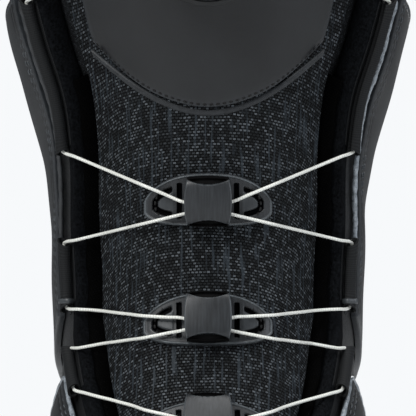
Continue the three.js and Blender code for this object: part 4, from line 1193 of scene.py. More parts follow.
def guide_flange(number, station):
    """Two sewn-on wings: a raised rim, a stitched groove, a plate inside it, and a slot beside the cover."""
    x = np.linspace(-GUIDE_HALF, GUIDE_HALF, 221)
    k = np.sin(np.linspace(-1, 1, 81) * np.pi / 2)
    X = np.broadcast_to(x, (len(k), len(x)))
    H = wing_half(X) * k[:, None]
    inset = wing_inset(X, H)
    rim = smooth(0, 0.5, inset) * (1 - smooth(RIM_WIDTH - 0.5, RIM_WIDTH, inset))
    groove = np.exp(-(((inset - GROOVE_AT) / GROOVE_HALF) ** 4)) * smooth(10.6, 11.4, np.abs(X))
    plate_part = smooth(GROOVE_AT + 0.7, GROOVE_AT + 1.2, inset) * smooth(10.2, 10.7, np.abs(X))
    slot = 1 - smooth(0.5, 0.85, np.abs(np.abs(X) - SLOT_X))
    slot = slot * (1 - smooth(SLOT_HALF - 0.5, SLOT_HALF, np.abs(H)))
    drop = 0.5 * (1 - np.sqrt(clamp01(inset / 0.5) * (2 - clamp01(inset / 0.5))))
    top = SEAT + FLANGE - 0.4 - drop + 0.3 * rim - 0.95 * groove + 0.1 * plate_part - 1.25 * slot
    outer = on_tongue(station, X, H, top)
    inner = on_tongue(station, X, H, np.full(X.shape, SEAT))
    # Painted light: the raised rim is painted pale as a highlight with wear, the plate a little paler, and the
    # groove and the slot near-black as painted shade.
    light = 0.9 * rim + 0.25 * plate_part - 1.2 * np.maximum(groove, slot)
    flange = finished(
        f"guide_{number}_flange",
        stacked(outer, inner),
        shell_faces(*X.shape),
        GLASS_NYLON,
        rim=np.concatenate([light.ravel(), 0 * light.ravel()]),
    )
    dress(flange, "tongue_assembly", "guide_nylon", f"guide_{number}_flange")
    across, along = groove_path()
    for sign in (-1, 1):
        s, turn = across_guide(station, sign * across, along)
        GROOVE_STITCHES.append(
            (on_last(s, turn, tongue_face(s, turn) + SEAT + FLANGE - 0.72), frame_at(s, turn)[1])
        )


def groove_path():
    """The line of stitches round the inside of a wing."""
    angle = np.linspace(-np.pi / 2, np.pi / 2, 60) * 0.97
    across = 11.4 + (GUIDE_HALF - GROOVE_AT - 11.4) * np.cos(angle) ** 0.8
    return across, (GUIDE_HALF_HEIGHT - GROOVE_AT - 0.35) * np.sin(angle)


def guide_bridge(number, station):
    """The cover: a block with bowed sides and hollow top and bottom edges, open below for the two strands."""
    place, out, up = bridge_frame(station)
    ends = np.array([0, 0.12, 0.35, 0.7, 1.0])
    share = np.concatenate([ends * 0.05, np.linspace(0.05, 0.95, 45)[1:-1], 1 - ends[::-1] * 0.05])
    x = mix(-1, 1, share)
    t = np.linspace(0, 1, 121)
    angle = np.pi * (1 - t)
    arch_h = np.sign(np.cos(angle)) * np.abs(np.cos(angle)) ** 0.28
    arch_z = np.abs(np.sin(angle)) ** 0.34
    X, A = np.meshgrid(x, arch_h, indexing="ij")
    Z = np.broadcast_to(arch_z, X.shape)
    bow = BRIDGE_HALF - 0.95 * A**2
    half_height = BRIDGE_HALF_HEIGHT - 0.5 * X**2
    crown = BRIDGE_ROOF_HEIGHT + 0.55 * (1 - A**2) - 0.5 * X**2
    cover_edge = 5.7 + 1.9 * X**2
    H = A * half_height
    in_recess = smooth(cover_edge - 0.12, cover_edge + 0.12, np.abs(H)) * smooth(0.8, 0.97, Z)
    tip = 1 - np.sqrt(clamp01(1 - clamp01((np.abs(X) - 0.95) / 0.05) ** 2))
    height = Z * (crown - 0.55 * tip) - 1.9 * in_recess
    across_cover = place + X[..., None] * bow[..., None] * ACROSS
    outer = across_cover + H[..., None] * up + height[..., None] * out
    roof_h = np.clip(t * 2 - 1, -1, 1)
    tunnel = np.where(np.abs(roof_h) > 0.94, 0.0, 1.0)
    inner_h = np.sign(roof_h) * np.minimum(np.abs(roof_h) / 0.94, 1) * TUNNEL_HALF_HEIGHT
    inner = across_cover + inner_h[None, :, None] * up + (tunnel * TUNNEL_DEPTH)[None, :, None] * out
    # Painted highlight with wear: the nylon is painted pale along the cover's edges and at the block's ends, but
    # not in the recesses.
    light = (1 - smooth(0.0, 0.5, cover_edge - np.abs(H))) * (1 - in_recess) * 0.5
    light = light + clamp01((np.abs(X) - 0.93) / 0.05) * 0.6
    block = finished(
        f"guide_{number}_bridge",
        stacked(outer, inner),
        shell_faces(*X.shape),
        GLASS_NYLON,
        rim=np.concatenate([clamp01(light).ravel(), np.zeros(X.size)]),
    )
    outwards(block)
    # The faces in the recesses above and below the cover take the near-black recess finish: painted shade.
    block.data.materials.append(NYLON_RECESS_SHADE)
    centres = np.array([polygon.center for polygon in block.data.polygons]) / MM - place
    h, z, across = centres @ up, centres @ out, centres[:, 0] / BRIDGE_HALF
    shaded_faces = (np.abs(h) > 5.75 + 1.9 * across**2) & (z > 1.5)
    block.data.polygons.foreach_set("material_index", shaded_faces.astype(np.int32))
    dress(block, "tongue_assembly", "guide_nylon", f"guide_{number}_bridge")


for number, station in enumerate(GUIDE_STATIONS, 1):
    guide_flange(number, station)
    guide_bridge(number, station)

# ---- lace tunnels on the shell's edges -------------------------------------
TUBES = ((15.55, 13.35), (11.75, 10.95), (9.95, 9.2), (7.95, 7.3))
TUBE_RADIUS, TUBE_BORE, TUBE_TURN = 2.1, 1.6, 2.8
TUBE_LIFT = SKIN + 0.7 + TUBE_RADIUS
MOUTH_LIP, MOUTH_HOOD = 0.6, 1.9


def tube_axis(side, k, steps):
    s = np.linspace(*TUBES[k], steps)
    return on_last(s, side * (throat_turn(s) + TUBE_TURN), TUBE_LIFT)


def lace_tube(side, name, k):
    """A woven tunnel on a sewn tab, its mouths cut at a slant so that they hood the lace."""
    axis = tube_axis(side, k, max(10, int((TUBES[k][0] - TUBES[k][1]) * 24)))
    points, u, v, tangents = tube_frames(axis)
    angle = np.linspace(0, 2 * np.pi, 25)
    ring = circles(angle, u, v)
    share = np.linspace(0, 1, len(points))
    lip = np.exp(-((np.minimum(share, 1 - share) * len(points) / 2.2) ** 2))
    facing = unit(np.array([-0.6 * side, -0.8, 0.1]))
    run = run_of(points)
    from_end = np.minimum(share, 1 - share) * run[-1]
    cut_back = np.exp(-((from_end / 2.2) ** 2)) * np.sign(share - 0.5)
    toward = ring @ facing
    slant = ((1 - toward) * MOUTH_HOOD + (1 + toward) * MOUTH_LIP) * cut_back[:, None]
    sheared = points[:, None] + tangents[:, None] * slant[..., None]
    outer = sheared + ring * (TUBE_RADIUS + 0.25 * lip - 0.1)[:, None, None]
    inner = sheared + ring * TUBE_BORE
    tube = finished(
        f"lace_tube_{name}_{k + 1}",
        stacked(outer, inner),
        shell_faces(*outer.shape[:2]),
        NYLON_WEBBING,
        uv=np.tile(strip_uv(angle * TUBE_RADIUS, run), (2, 1)),
        rim=np.tile(np.repeat(lip, 25), 2),
    )
    dress(outwards(tube), "boot", "webbing", f"lace_tube_{name}_{k + 1}")
    top, foot = TUBES[k]
    tab = panel(
        f"tunnel_tab_{name}_{k + 1}",
        (foot - 0.06, top + 0.06),
        sided(side, lambda s: throat_turn(s) + 0.9, lambda s: throat_turn(s) + 6.0),
        (SKIN + 0.05, SKIN + 0.62),
        NYLON_WEBBING,
        edge=0.3,
        step=2.0,
        seams=[(back(side), 0.9)],
    )
    dress(tab, "boot", "webbing")
    if k == 1:
        mouth_ring(name, k, points[-1], u[-1], v[-1], unit(points[-2] - points[-1]))


def mouth_ring(name, k, middle, u, v, inward):
    """A small moulded frame at a tunnel's foot, square outside and oval within."""
    around = np.linspace(0, 2 * np.pi, 33)
    square = (np.abs(np.cos(around)) ** 5 + np.abs(np.sin(around)) ** 5) ** (-1 / 5)
    outline = np.stack([np.cos(around), np.sin(around)], -1)
    rings = []
    for radius, depth, shape in (
        (2.0, 0.9, square), (2.3, 0.8, square), (2.45, 0.4, square), (2.45, -0.5, square),
        (2.25, -0.75, square), (1.75, -0.75, 1.0), (1.62, -0.5, 1.0), (1.62, 0.9, 1.0),
        (2.0, 0.9, square),
    ):
        ring = outline * (radius * shape * np.ones(33))[:, None]
        rings.append(middle + ring[:, :1] * u + ring[:, 1:] * v + inward * depth)
    rings = np.array(rings)
    piece = finished(
        f"mouth_{name}_{k + 1}_foot",
        rings.reshape(-1, 3),
        grid_faces(*rings.shape[:2]).tolist(),
        GLASS_NYLON,
        rim=np.full(rings.shape[0] * rings.shape[1], 0.35),
    )
    dress(outwards(piece), "boot", "guide_nylon")


for name, side in SIDES.items():
    for k in range(len(TUBES)):
        lace_tube(side, name, k)

# ---- the guide on the vamp -------------------------------------------------
VAMP_GUIDE_STATION, VAMP_HALF, VAMP_HALF_HEIGHT, VAMP_HEIGHT = 5.55, 15.0, 5.0, 6.0


def vamp_guide():
    place, out, up, *_ = frame_at(np.float64(VAMP_GUIDE_STATION), 0.0)
    place = place + out * (SKIN + 0.9)
    x = VAMP_HALF * np.sin(np.linspace(-1, 1, 61) * np.pi / 2)
    share = x / VAMP_HALF
    angle = np.linspace(0, 2 * np.pi, 49)
    a = np.sign(np.cos(angle)) * np.abs(np.cos(angle)) ** 0.45
    b = np.sign(np.sin(angle)) * np.abs(np.sin(angle)) ** 0.6
    taper = np.sqrt(clamp01(1 - np.maximum(0, np.abs(share) - 0.93) / 0.09))
    foot = -1.2 * np.abs(share) ** 1.6
    top = VAMP_HEIGHT - 0.9 * share**2
    middle, half = (foot + top) / 2, (top - foot) / 2
    H = a[None] * (VAMP_HALF_HEIGHT * (1 - 0.14 * share**2) * taper)[:, None]
    Z = middle[:, None] + b[None] * (half * taper)[:, None]
    Z = Z - 0.35 * np.exp(-((H / 1.1) ** 2)) * (b[None] > 0.5)
    row = place + x[:, None, None] * ACROSS
    outer = row + H[..., None] * up + Z[..., None] * out
    ring_h, ring_z = TUBE_BORE * np.cos(angle), VAMP_HEIGHT / 2 + TUBE_BORE * np.sin(angle)
    inner = row + ring_h[None, :, None] * up + ring_z[None, :, None] * out
    wear_and_highlight = np.repeat(clamp01((np.abs(share) - 0.9) / 0.1), 49)
    body = finished(
        "vamp_guide",
        stacked(outer, inner),
        shell_faces(*outer.shape[:2]),
        GLASS_NYLON,
        rim=np.concatenate([wear_and_highlight, 0 * wear_and_highlight]) * 0.6,
    )
    return dress(outwards(body), "boot", "guide_nylon", "vamp_guide")


vamp_guide()

# ---- the reel dial ---------------------------------------------------------
DIAL_STATION = 16.15
DIAL_LIFT = TONGUE_CROWN + SEAT + PATCH_SKIN + 0.6
DIAL_RADIUS, FLANGE_RADIUS, BASE_PLATE, HOUSING_HEIGHT = 15.0, 17.6, 1.6, 8.5
CAVITY_RADIUS, AXLE_RADIUS, AXLE_TOP = 13.2, 2.6, 10.7
LACE_EXIT_HEIGHT = BASE_PLATE + 2.6
KNOB_FOOT, KNOB_TOP, KNOB_INSIDE, KNOB_WALL = BASE_PLATE + 1.4, HOUSING_HEIGHT + 5.2, DIAL_RADIUS + 0.5, 1.2
COLLAR_RADIUS = AXLE_RADIUS + 2.4
DISC_TOP, DISC_RADIUS = 8.7, CAVITY_RADIUS - 0.6
SPOOL_RADIUS = CAVITY_RADIUS - 1.2

dial_foot, dial_out, dial_up, *_ = frame_at(np.float64(DIAL_STATION), 0.0)
dial_foot = dial_foot + dial_out * DIAL_LIFT
dial_right = np.cross(dial_up, dial_out)


def rounded_profile(profile, radius=0.3, arc=4):
    """A closed profile with each corner turned into a small arc."""
    points = np.array(profile, float)
    count = len(points)
    soft = []
    for k in range(count):
        before, here, after = points[k - 1], points[k], points[(k + 1) % count]
        if here[0] < 1e-6:
            soft.append(here)
            continue
        a, b = unit(before - here), unit(after - here)
        r = min(radius, 0.4 * np.linalg.norm(before - here), 0.4 * np.linalg.norm(after - here))
        for t in np.linspace(0, 1, arc):
            soft.append((1 - t) ** 2 * (here + a * r) + 2 * t * (1 - t) * here + t**2 * (here + b * r))
    return np.array(soft)


def on_dial(points):
    x, y, z = np.moveaxis(np.asarray(points, float), -1, 0)
    return dial_foot + x[..., None] * dial_right + y[..., None] * dial_up + z[..., None] * dial_out


def turned(name, profile, material, wobble=None, segments=96, radius=0.3):
    """A part turned round the dial's axis from a closed profile of (radius, height)."""
    soft = rounded_profile(profile, radius)
    soft = np.vstack([soft, soft[:1]])
    angle = np.linspace(0, 2 * np.pi, segments + 1)
    r = np.broadcast_to(soft[:, 0][:, None], (len(soft), segments + 1))
    z = np.broadcast_to(soft[:, 1][:, None], r.shape)
    if wobble is not None:
        r = wobble(r, z, angle[None])
    points = np.stack([r * np.cos(angle), r * np.sin(angle), z], -1)
    corner = np.minimum(np.linalg.norm(soft[:, None] - np.array(profile)[None], axis=-1).min(-1), 1)
    rim = np.broadcast_to((1 - smooth(0.15, 0.5, corner))[:, None], r.shape)
    faces = grid_faces(*r.shape).tolist()
    return outwards(finished(name, on_dial(points).reshape(-1, 3), faces, material, rim=rim.ravel() * 0.7))


def spun(body, slot, name, *shape, **more):
    """A turned part hung on its body, for the frame's node of the same name."""
    return dress(turned(name, *shape, **more), body, slot, name)


spun(
    "tongue_assembly", "guide_nylon", "dial_base",
    [
        (0, 0), (FLANGE_RADIUS, 0), (FLANGE_RADIUS, 1.1), (DIAL_RADIUS + 0.6, BASE_PLATE + 0.3),
        (DIAL_RADIUS, HOUSING_HEIGHT), (CAVITY_RADIUS, HOUSING_HEIGHT), (CAVITY_RADIUS, BASE_PLATE),
        (AXLE_RADIUS, BASE_PLATE), (AXLE_RADIUS, AXLE_TOP), (1.4, AXLE_TOP), (1.4, AXLE_TOP - 4),
        (0, AXLE_TOP - 4),
    ],
    GLASS_NYLON,
)
FLUTES = 20


def knob_flutes(r, z, angle):
    """Finger flutes round the outside of the knob's grip."""
    scallop = 0.45 * np.abs(np.sin(angle * FLUTES / 2)) ** 0.6 - 0.25
    return np.where(r > KNOB_INSIDE + KNOB_WALL + 0.9, r + scallop, r)


spun(
    "knob", "dial_plastic", "dial_knob",
    [
        (COLLAR_RADIUS + 1, DISC_TOP + 0.3), (DISC_RADIUS - 1.5, DISC_TOP + 0.3),
        (DISC_RADIUS - 1.5, KNOB_TOP - 2.6), (KNOB_INSIDE, KNOB_TOP - 3.6),
        (KNOB_INSIDE, KNOB_FOOT + 3.6), (KNOB_INSIDE + KNOB_WALL, KNOB_FOOT + 3.6),
        (KNOB_INSIDE + KNOB_WALL, KNOB_TOP - 2), (KNOB_INSIDE - 0.6, KNOB_TOP - 0.6),
        (COLLAR_RADIUS + 7, KNOB_TOP - 0.2), (COLLAR_RADIUS + 7, KNOB_TOP - 1.4),
        (COLLAR_RADIUS + 1, KNOB_TOP - 1.4),
    ],
    DIAL_PLASTIC,
    radius=0.5,
)
GRIP_INNER = KNOB_INSIDE + KNOB_WALL + 0.2
spun(
    "knob", "grip_rubber", "knob_grip",
    [
        (GRIP_INNER, KNOB_FOOT + 3.8), (GRIP_INNER + 1.6, KNOB_FOOT + 3.8),
        (GRIP_INNER + 1.75, KNOB_FOOT + 6.5), (GRIP_INNER + 1.5, KNOB_TOP - 2.2),
        (GRIP_INNER, KNOB_TOP - 2.2),
    ],
    GRIP_RUBBER,
    wobble=knob_flutes,
    segments=240,
)
spun(
    "knob", "dial_plastic", "dial_cap",
    [
        (0, KNOB_TOP - 1.1), (COLLAR_RADIUS + 6.7, KNOB_TOP - 1.1),
        (COLLAR_RADIUS + 6.4, KNOB_TOP + 0.2), (9.4, KNOB_TOP + 0.28), (9.1, KNOB_TOP - 0.15),
        (8.5, KNOB_TOP - 0.15), (8.2, KNOB_TOP + 0.3), (0, KNOB_TOP + 0.45),
    ],
    DIAL_PLASTIC,
    radius=0.2,
)
for node, material, slot in (
    ("dial_spool", DIAL_PLASTIC, "dial_plastic"),
    ("drive_disc", DIAL_PLASTIC, "dial_plastic"),
    ("detent_ring", STEEL, "small_steel"),
    ("dial_screw", STEEL, "small_steel"),
    ("lace_winding", WINDING_CABLE, "lace_steel"),
    ("lasting_board", FIBRE_BOARD, "fibre_board"),
    ("shank", SHANK_COMPOSITE, "shank_composite"),
    ("heel_gel_pad", GEL, "gel"),
):
    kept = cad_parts[node]
    kept.data.materials.clear()
    kept.data.materials.append(material)

# ---- the lace --------------------------------------------------------------
LACE_CLEARANCE = CAD_LACE_RADIUS + 0.9
LACE_SPACING = 1.2


def top_face(s, turn):
    """Height over the last of whatever lies at a place on the front."""
    if abs(turn) > throat_turn(s) - 3:
        return SKIN
    patched = abs(turn) < PATCH_TURN + 2 and s > patch_foot(turn) - 0.3
    return tongue_face(s, turn) + (PATCH_SKIN + 0.5 if patched else 0)


def over_front(x, z, above):
    s, turn = np.float64(11), np.float64(x / 50 * 60)
    for _ in range(12):
        here = on_last(s, turn, top_face(s, turn) + above)
        s = s + 0.8 * (z - here[2]) / frame_at(s, turn)[4]
        turn = turn + 0.8 * (x - here[0])
    return on_last(s, turn, top_face(s, turn) + above)


def over_tongue(start, end):
    """A strand's own points, straight except where the tongue or a wing holds it up."""
    points = []
    for i in range(1, 9):
        p = mix(start, end, i / 9)
        wing = 0.6 + FLANGE if abs(p[0]) < GUIDE_HALF + 4 else 0
        points.append(np.array([p[0], min(p[1], over_front(p[0], p[2], wing + LACE_CLEARANCE)[1]), p[2]]))
    return points


def tube_run(side, k):
    steps = math.ceil((TUBES[k][0] - TUBES[k][1]) * 3.5) + 1
    axis = tube_axis(side, k, steps)
    ends = [axis[a] + unit(axis[a] - axis[b]) * MOUTH_RUN for a, b in ((0, 1), (-1, -2))]
    return np.vstack([ends[:1], axis, ends[1:]])


def guide_strand(k, from_side, strand):
    place, out, up = bridge_frame(GUIDE_STATIONS[k])
    reach = BRIDGE_HALF + 0.6
    ends = []
    for sign in (1, -1):
        end = place + sign * from_side * reach * ACROSS + up * (sign * STRAND_SPREAD - STRAND_DROP)
        ends.append(end + out * STRAND_LIFTS[strand])
    return ends


def lace_runs(start):
    """From the reel down to the vamp on one strand: (where it is held, its points)."""
    exits = [on_dial((start * r, 0, LACE_EXIT_HEIGHT)) for r in (SPOOL_RADIUS + 0.8, FLANGE_RADIUS + 1.5)]
    run = tube_run(start, 0)
    runs = [("from_reel", [*exits, *over_tongue(exits[1], run[0]), run[0]]), ("tunnel", run)]
    for k in range(3):
        side = start * (-1) ** k
        strand = guide_strand(k, side, 0 if start > 0 else 1)
        following = tube_run(-side, k + 1)
        runs.append(("to_guide", [run[-1], *over_tongue(run[-1], strand[0]), strand[0]]))
        runs.append(("guide", strand))
        runs.append(("from_guide", [strand[1], *over_tongue(strand[1], following[0]), following[0]]))
        runs.append(("tunnel", following))
        run = following
    place, out, *_ = frame_at(np.float64(VAMP_GUIDE_STATION), 0.0)
    to_mouth = start * (VAMP_HALF + 1) * ACROSS
    mouth = place + out * (SKIN + 0.9 + VAMP_HEIGHT / 2) - to_mouth
    runs.append(("to_vamp", [run[-1], mouth, mouth + to_mouth]))
    return runs


BODY_OF_RUN = {"tunnel": "boot", "to_vamp": "boot", "guide": "tongue_assembly"}


def smooth_route(runs):
    """One smooth line through all runs, cut again where each run begins."""
    route, cuts = [], [0]
    for _, points in runs:
        fresh = points if not route else points[1:]
        route.extend(np.asarray(fresh, float))
        cuts.append(len(route) - 1)
    route = np.array(route)
    padded = np.vstack([2 * route[0] - route[1], route, 2 * route[-1] - route[-2]])
    pieces = []
    for kind, lo, hi in zip([kind for kind, _ in runs], cuts[:-1], cuts[1:]):
        fine = []
        for i in range(lo, hi):
            p, q, r, w = padded[i : i + 4]
            leg = np.linalg.norm(r - q)
            a = (r - p) / max(np.linalg.norm(r - p), 1e-6) * leg
            b = (w - q) / max(np.linalg.norm(w - q), 1e-6) * leg
            t = np.linspace(0, 1, max(2, int(leg / LACE_SPACING)), endpoint=False)[:, None]
            leaving = (2 * t**3 - 3 * t**2 + 1) * q + (t**3 - 2 * t**2 + t) * a
            fine.append(leaving + (3 * t**2 - 2 * t**3) * r + (t**3 - t**2) * b)
        pieces.append((kind, np.vstack([*fine, route[hi : hi + 1]])))
    return pieces


held = {"boot": [], "tongue_assembly": []}
crossing = 0
for start in (1, -1):
    for kind, points in smooth_route(lace_runs(start)):
        crossing += 1
        strand = swept(f"lace_run_{crossing}", points, LACE_RADIUS, COATED_CABLE, sides=10)
        if kind in BODY_OF_RUN:
            held[BODY_OF_RUN[kind]].append(strand)
            continue
        ends = [points[0] * MM, points[-1] * MM]
        if kind in ("from_reel", "from_guide"):
            ends.reverse()
        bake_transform(strand)
for body, pieces in held.items():
    whole = joined(f"lace_held_by_{body}", pieces)
    dress(whole, body, "lace_steel", *(["lace"] if body == "boot" else []))

# ---- the gussets -----------------------------------------------------------
def gusset(side, name):
    """A folded sheet that closes the gap beside the tongue."""
    s = np.linspace(7.4, 14.2, 70)
    t = np.linspace(0, 1, 16)
    near, far = tongue_turn(s) + 0.8, throat_turn(s) + 0.4
    S = np.broadcast_to(s[:, None], (70, 16))
    T = side * mix(near[:, None], far[:, None], t[None])
    pleat = TONGUE_FLOOR + 0.5 + (4.6 + 0.3 * np.sin(S * 9)) * np.sin(np.pi * t)[None]
    points = on_last(S, T, pleat)
    piece = finished(
        f"gusset_{name}",
        points.reshape(-1, 3),
        grid_faces(70, 16, flip=side < 0).tolist(),
        GUSSET_SHADE_CLOTH,
        uv=cloth_uv(points).reshape(-1, 2),
    )
    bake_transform(piece)
    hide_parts(f"gusset_{name}")
    piece.name = f"gusset_{name}_made"
    return piece


for name, side in SIDES.items():
    gusset(side, name)

# ---- the inner boot --------------------------------------------------------
dress(
    panel(
        "liner",
        (0.25, 16.75),
        (liner_slit, lambda s: 360 - liner_slit(s)),
        (liner_lift(-LINER_WALL), liner_lift(0)),
        LINER_CLOTH,
        edge=2.6,
        step=3.0,
        seams=[("t", 5.0)],
    ),
    "boot",
    "liner_foam",
    "liner",
)
dress(
    panel(
        "liner_tongue",
        (7.0, 17.15),
        (lambda s: 1.2 - liner_slit(s), lambda s: liner_slit(s) - 1.2),
        (liner_lift(-LINER_WALL), liner_lift(-0.2)),
        LINER_CLOTH,
        edge=2.6,
        step=2.6,
        seams=[("t", 5.0)],
    ),
    "boot",
    "liner_foam",
    "liner_tongue",
)
sewn(
    "footbed_foam", "footbed", (2.0, 9.5), (150.0, 210.0),
    (liner_lift(-LINER_WALL - 4.6), liner_lift(-LINER_WALL - 0.5)), FOOTBED_FOAM,
    edge=1.2,
    step=4.0,
)

# ---- the sole --------------------------------------------------------------
SOLE_ROWS = np.array([
    [-156, -18, 6], [-152, -34, 17], [-146, -42, 25], [-136, -49, 36], [-120, -55, 46],
    [-100, -58.5, 54], [-80, -58.5, 58], [-55, -57, 59], [-30, -53.5, 57], [0, -49, 53],
    [30, -47, 50], [60, -46.5, 48], [90, -46, 47], [112, -44, 44.5], [128, -39, 39.5],
    [140, -31, 31.5], [149, -21, 21], [156, -8, 8],
])
TREAD_INSET = 2.2
SOLE_SHARP = math.radians(50)


def sole_ring(count=150):
    """The sole's outline as a closed walk, and its outward normals in plan."""
    inner = SOLE_ROWS[:, [1, 0]]
    outer = SOLE_ROWS[::-1][:, [2, 0]]
    walk = np.vstack([inner[::-1], outer[::-1]])
    walk = np.vstack([walk, walk[:1]])
    run = run_of(walk)
    want = np.linspace(0, run[-1], 4 * count, endpoint=False)
    line = np.stack([np.interp(want, run, walk[:, k]) for k in range(2)], -1)
    kernel = np.hanning(13)[1:-1]
    kernel /= kernel.sum()
    for k in range(2):
        line[:, k] = np.convolve(np.concatenate([line[-5:, k], line[:, k], line[:5, k]]), kernel, "valid")
    line = line[::4]
    tangent = unit(np.roll(line, -1, 0) - np.roll(line, 1, 0))
    normal = np.stack([tangent[:, 1], -tangent[:, 0]], -1)
    if ((line + normal)[:, 0] @ line[:, 0] + (line + normal)[:, 1] @ line[:, 1]) < (line**2).sum():
        normal = -normal
    return line, normal


def sole_piece(section):
    """Points and faces of a moulded side profile, listed from its underside up."""
    line, normal = sole_ring()
    rings = []
    for inset, height in section:
        flat = line - normal * inset
        rings.append(np.column_stack([flat, height + toe_spring(flat[:, 1])]))
    return stacked(np.array(rings)), ring_faces(len(section), len(line)), len(line)


MIDSOLE_SECTION = [
    (6, 8.0), (3.2, 8.0), (2.2, 8.5), (1.5, 9.6), (0.6, 13.0), (0.5, 14.6), (1.7, 15.3), (1.7, 16.5),
    (0.4, 17.2), (0.2, 21.5), (0.3, 25.5), (1.0, 26.1), (1.0, 27.0), (0.4, 27.6), (0.7, 30.5),
    (1.4, 32.2), (2.6, 33.0), (6, 33.0),
]


def plan_fill(start, count, up):
    """Closes a ring of the sole with faces across it, from one side to the other."""
    half = count // 2
    faces = []
    for i in range(half - 1):
        a, b = start + i, start + i + 1
        c, d = start + count - 2 - i, start + count - 1 - i
        quad = (a, b, c, d)
        faces.append(quad if up else quad[::-1])
    return faces


def midsole():
    points, faces, count = sole_piece(MIDSOLE_SECTION)
    faces += plan_fill(0, count, True)
    faces += plan_fill((len(MIDSOLE_SECTION) - 1) * count, count, False)
    block = outwards(finished("midsole", points, faces, EVA_FOAM))
    s = np.concatenate([[0.0, 0.12, 0.25, 0.5, 0.75], np.arange(1, 12.51, 0.25)])
    turn = np.linspace(0, 360, 72, endpoint=False)
    S, T = np.meshgrid(s, turn, indexing="ij")
    rings = on_last(S, T, SKIN + 0.12)
    rings[0] = rings[0].mean(0)
    form_faces = [*ring_faces(len(s), 72), tuple((len(s) - 1) * 72 + i for i in range(72))]
    cutter = outwards(finished("midsole_hollow", rings.reshape(-1, 3), form_faces, EVA_FOAM))
    cut = block.modifiers.new("hollow", "BOOLEAN")
    cut.object, cut.operation, cut.solver = cutter, "DIFFERENCE", "EXACT"
    baked(block, "midsole", SOLE_SHARP)
    bpy.data.objects.remove(cutter)
    return block


dress(midsole(), "boot", "midsole_foam", "midsole")

LUG_PITCH = (15.0, 12.5)
PLATE_FOOT = 4.0


def lug_shape():
    """One rubber lug with sloped sides, standing on its foot at the origin and 1 mm in each direction."""
    corners = np.array([[-0.5, -0.35], [0.0, -0.5], [0.5, -0.35], [0.5, 0.35], [0.0, 0.5], [-0.5, 0.35]])
    rings = [(1.0, 0.0), (0.94, -0.8), (0.86, -1.0)]
    points = [np.column_stack([corners * scale, np.full(6, height)]) for scale, height in rings]
    faces = [*ring_faces(3, 6), tuple(range(6)), tuple(17 - i for i in range(6))]
    return outwards(finished("lug_shape", np.vstack(points) / MM, faces, TREAD_RUBBER))


def repeat_tree(name, along_curve):
    """Geometry nodes that put one shape at every point, or at an even pitch along each line."""
    tree = bpy.data.node_groups.new(name, "GeometryNodeTree")
    for label, kind in (
        ("Geometry", "NodeSocketGeometry"),
        ("Shape", "NodeSocketObject"),
        ("Pitch", "NodeSocketFloat"),
        ("Finish", "NodeSocketMaterial"),
    ):
        tree.interface.new_socket(name=label, in_out="INPUT", socket_type=kind)
    tree.interface.new_socket(name="Geometry", in_out="OUTPUT", socket_type="NodeSocketGeometry")
    entry = add(tree, "NodeGroupInput").outputs
    shape = add(tree, "GeometryNodeObjectInfo", {"Object": entry["Shape"]}).outputs["Geometry"]
    out = add(tree, "GeometryNodeInputNamedAttribute", {"Name": "out"}, data_type="FLOAT_VECTOR").outputs[0]
    size = add(tree, "GeometryNodeInputNamedAttribute", {"Name": "size"}, data_type="FLOAT_VECTOR").outputs[
        0
    ]
    where, forward = entry["Geometry"], (1.0, 0.0, 0.0)
    if along_curve:
        curve = add(tree, "GeometryNodeMeshToCurve", {"Mesh": entry["Geometry"]}).outputs[0]
        even = add(
            tree, "GeometryNodeResampleCurve", {"Curve": curve, "Length": entry["Pitch"]}, mode="LENGTH"
        )
        where, forward = even.outputs[0], add(tree, "GeometryNodeInputTangent").outputs[0]
    turn = add(
        tree, "FunctionNodeAxesToRotation", {0: out, 1: forward}, primary_axis="Z", secondary_axis="X"
    ).outputs[0]
    put = add(
        tree,
        "GeometryNodeInstanceOnPoints",
        {"Points": where, "Instance": shape, "Rotation": turn, "Scale": size},
    )
    real = add(tree, "GeometryNodeRealizeInstances", {0: put.outputs[0]})
    done = add(tree, "GeometryNodeSetMaterial", {"Geometry": real.outputs[0], "Material": entry["Finish"]})
    add(tree, "NodeGroupOutput", {0: done.outputs[0]})
    return tree


def repeated(name, tree, runs, shape, material, pitch=1.0, sizes=(1.0, 1.0, 1.0)):
    """The shape along each run of (points in mm, outward directions), as one plain mesh."""
    points = np.vstack([run[0] for run in runs]) * MM
    outs = np.vstack([run[1] for run in runs])
    edges, start = [], 0
    for run in runs:
        edges += [(start + i, start + i + 1) for i in range(len(run[0]) - 1)]
        start += len(run[0])
    mesh = bpy.data.meshes.new(name + "_places")
    mesh.from_pydata(points.tolist(), edges if tree.name != "scatter" else [], [])
    mesh.attributes.new("out", "FLOAT_VECTOR", "POINT").data.foreach_set(
        "vector", outs.astype(np.float32).ravel()
    )
    size = np.broadcast_to(np.asarray(sizes, np.float32), points.shape)
    mesh.attributes.new("size", "FLOAT_VECTOR", "POINT").data.foreach_set(
        "vector", np.ascontiguousarray(size).ravel()
    )
    holder = bpy.data.objects.new(name, mesh)
    link(holder)
    modifier = holder.modifiers.new("repeat", "NODES")
    modifier.node_group = tree
    values = {"Shape": shape, "Pitch": pitch * MM, "Finish": material}
    for socket in tree.interface.items_tree:
        if socket.in_out == "INPUT" and socket.name in values:
            modifier[socket.identifier] = values[socket.name]
    return baked(holder, name)


ROW_TREE = repeat_tree("stitch_row", True)
SCATTER_TREE = repeat_tree("scatter", False)


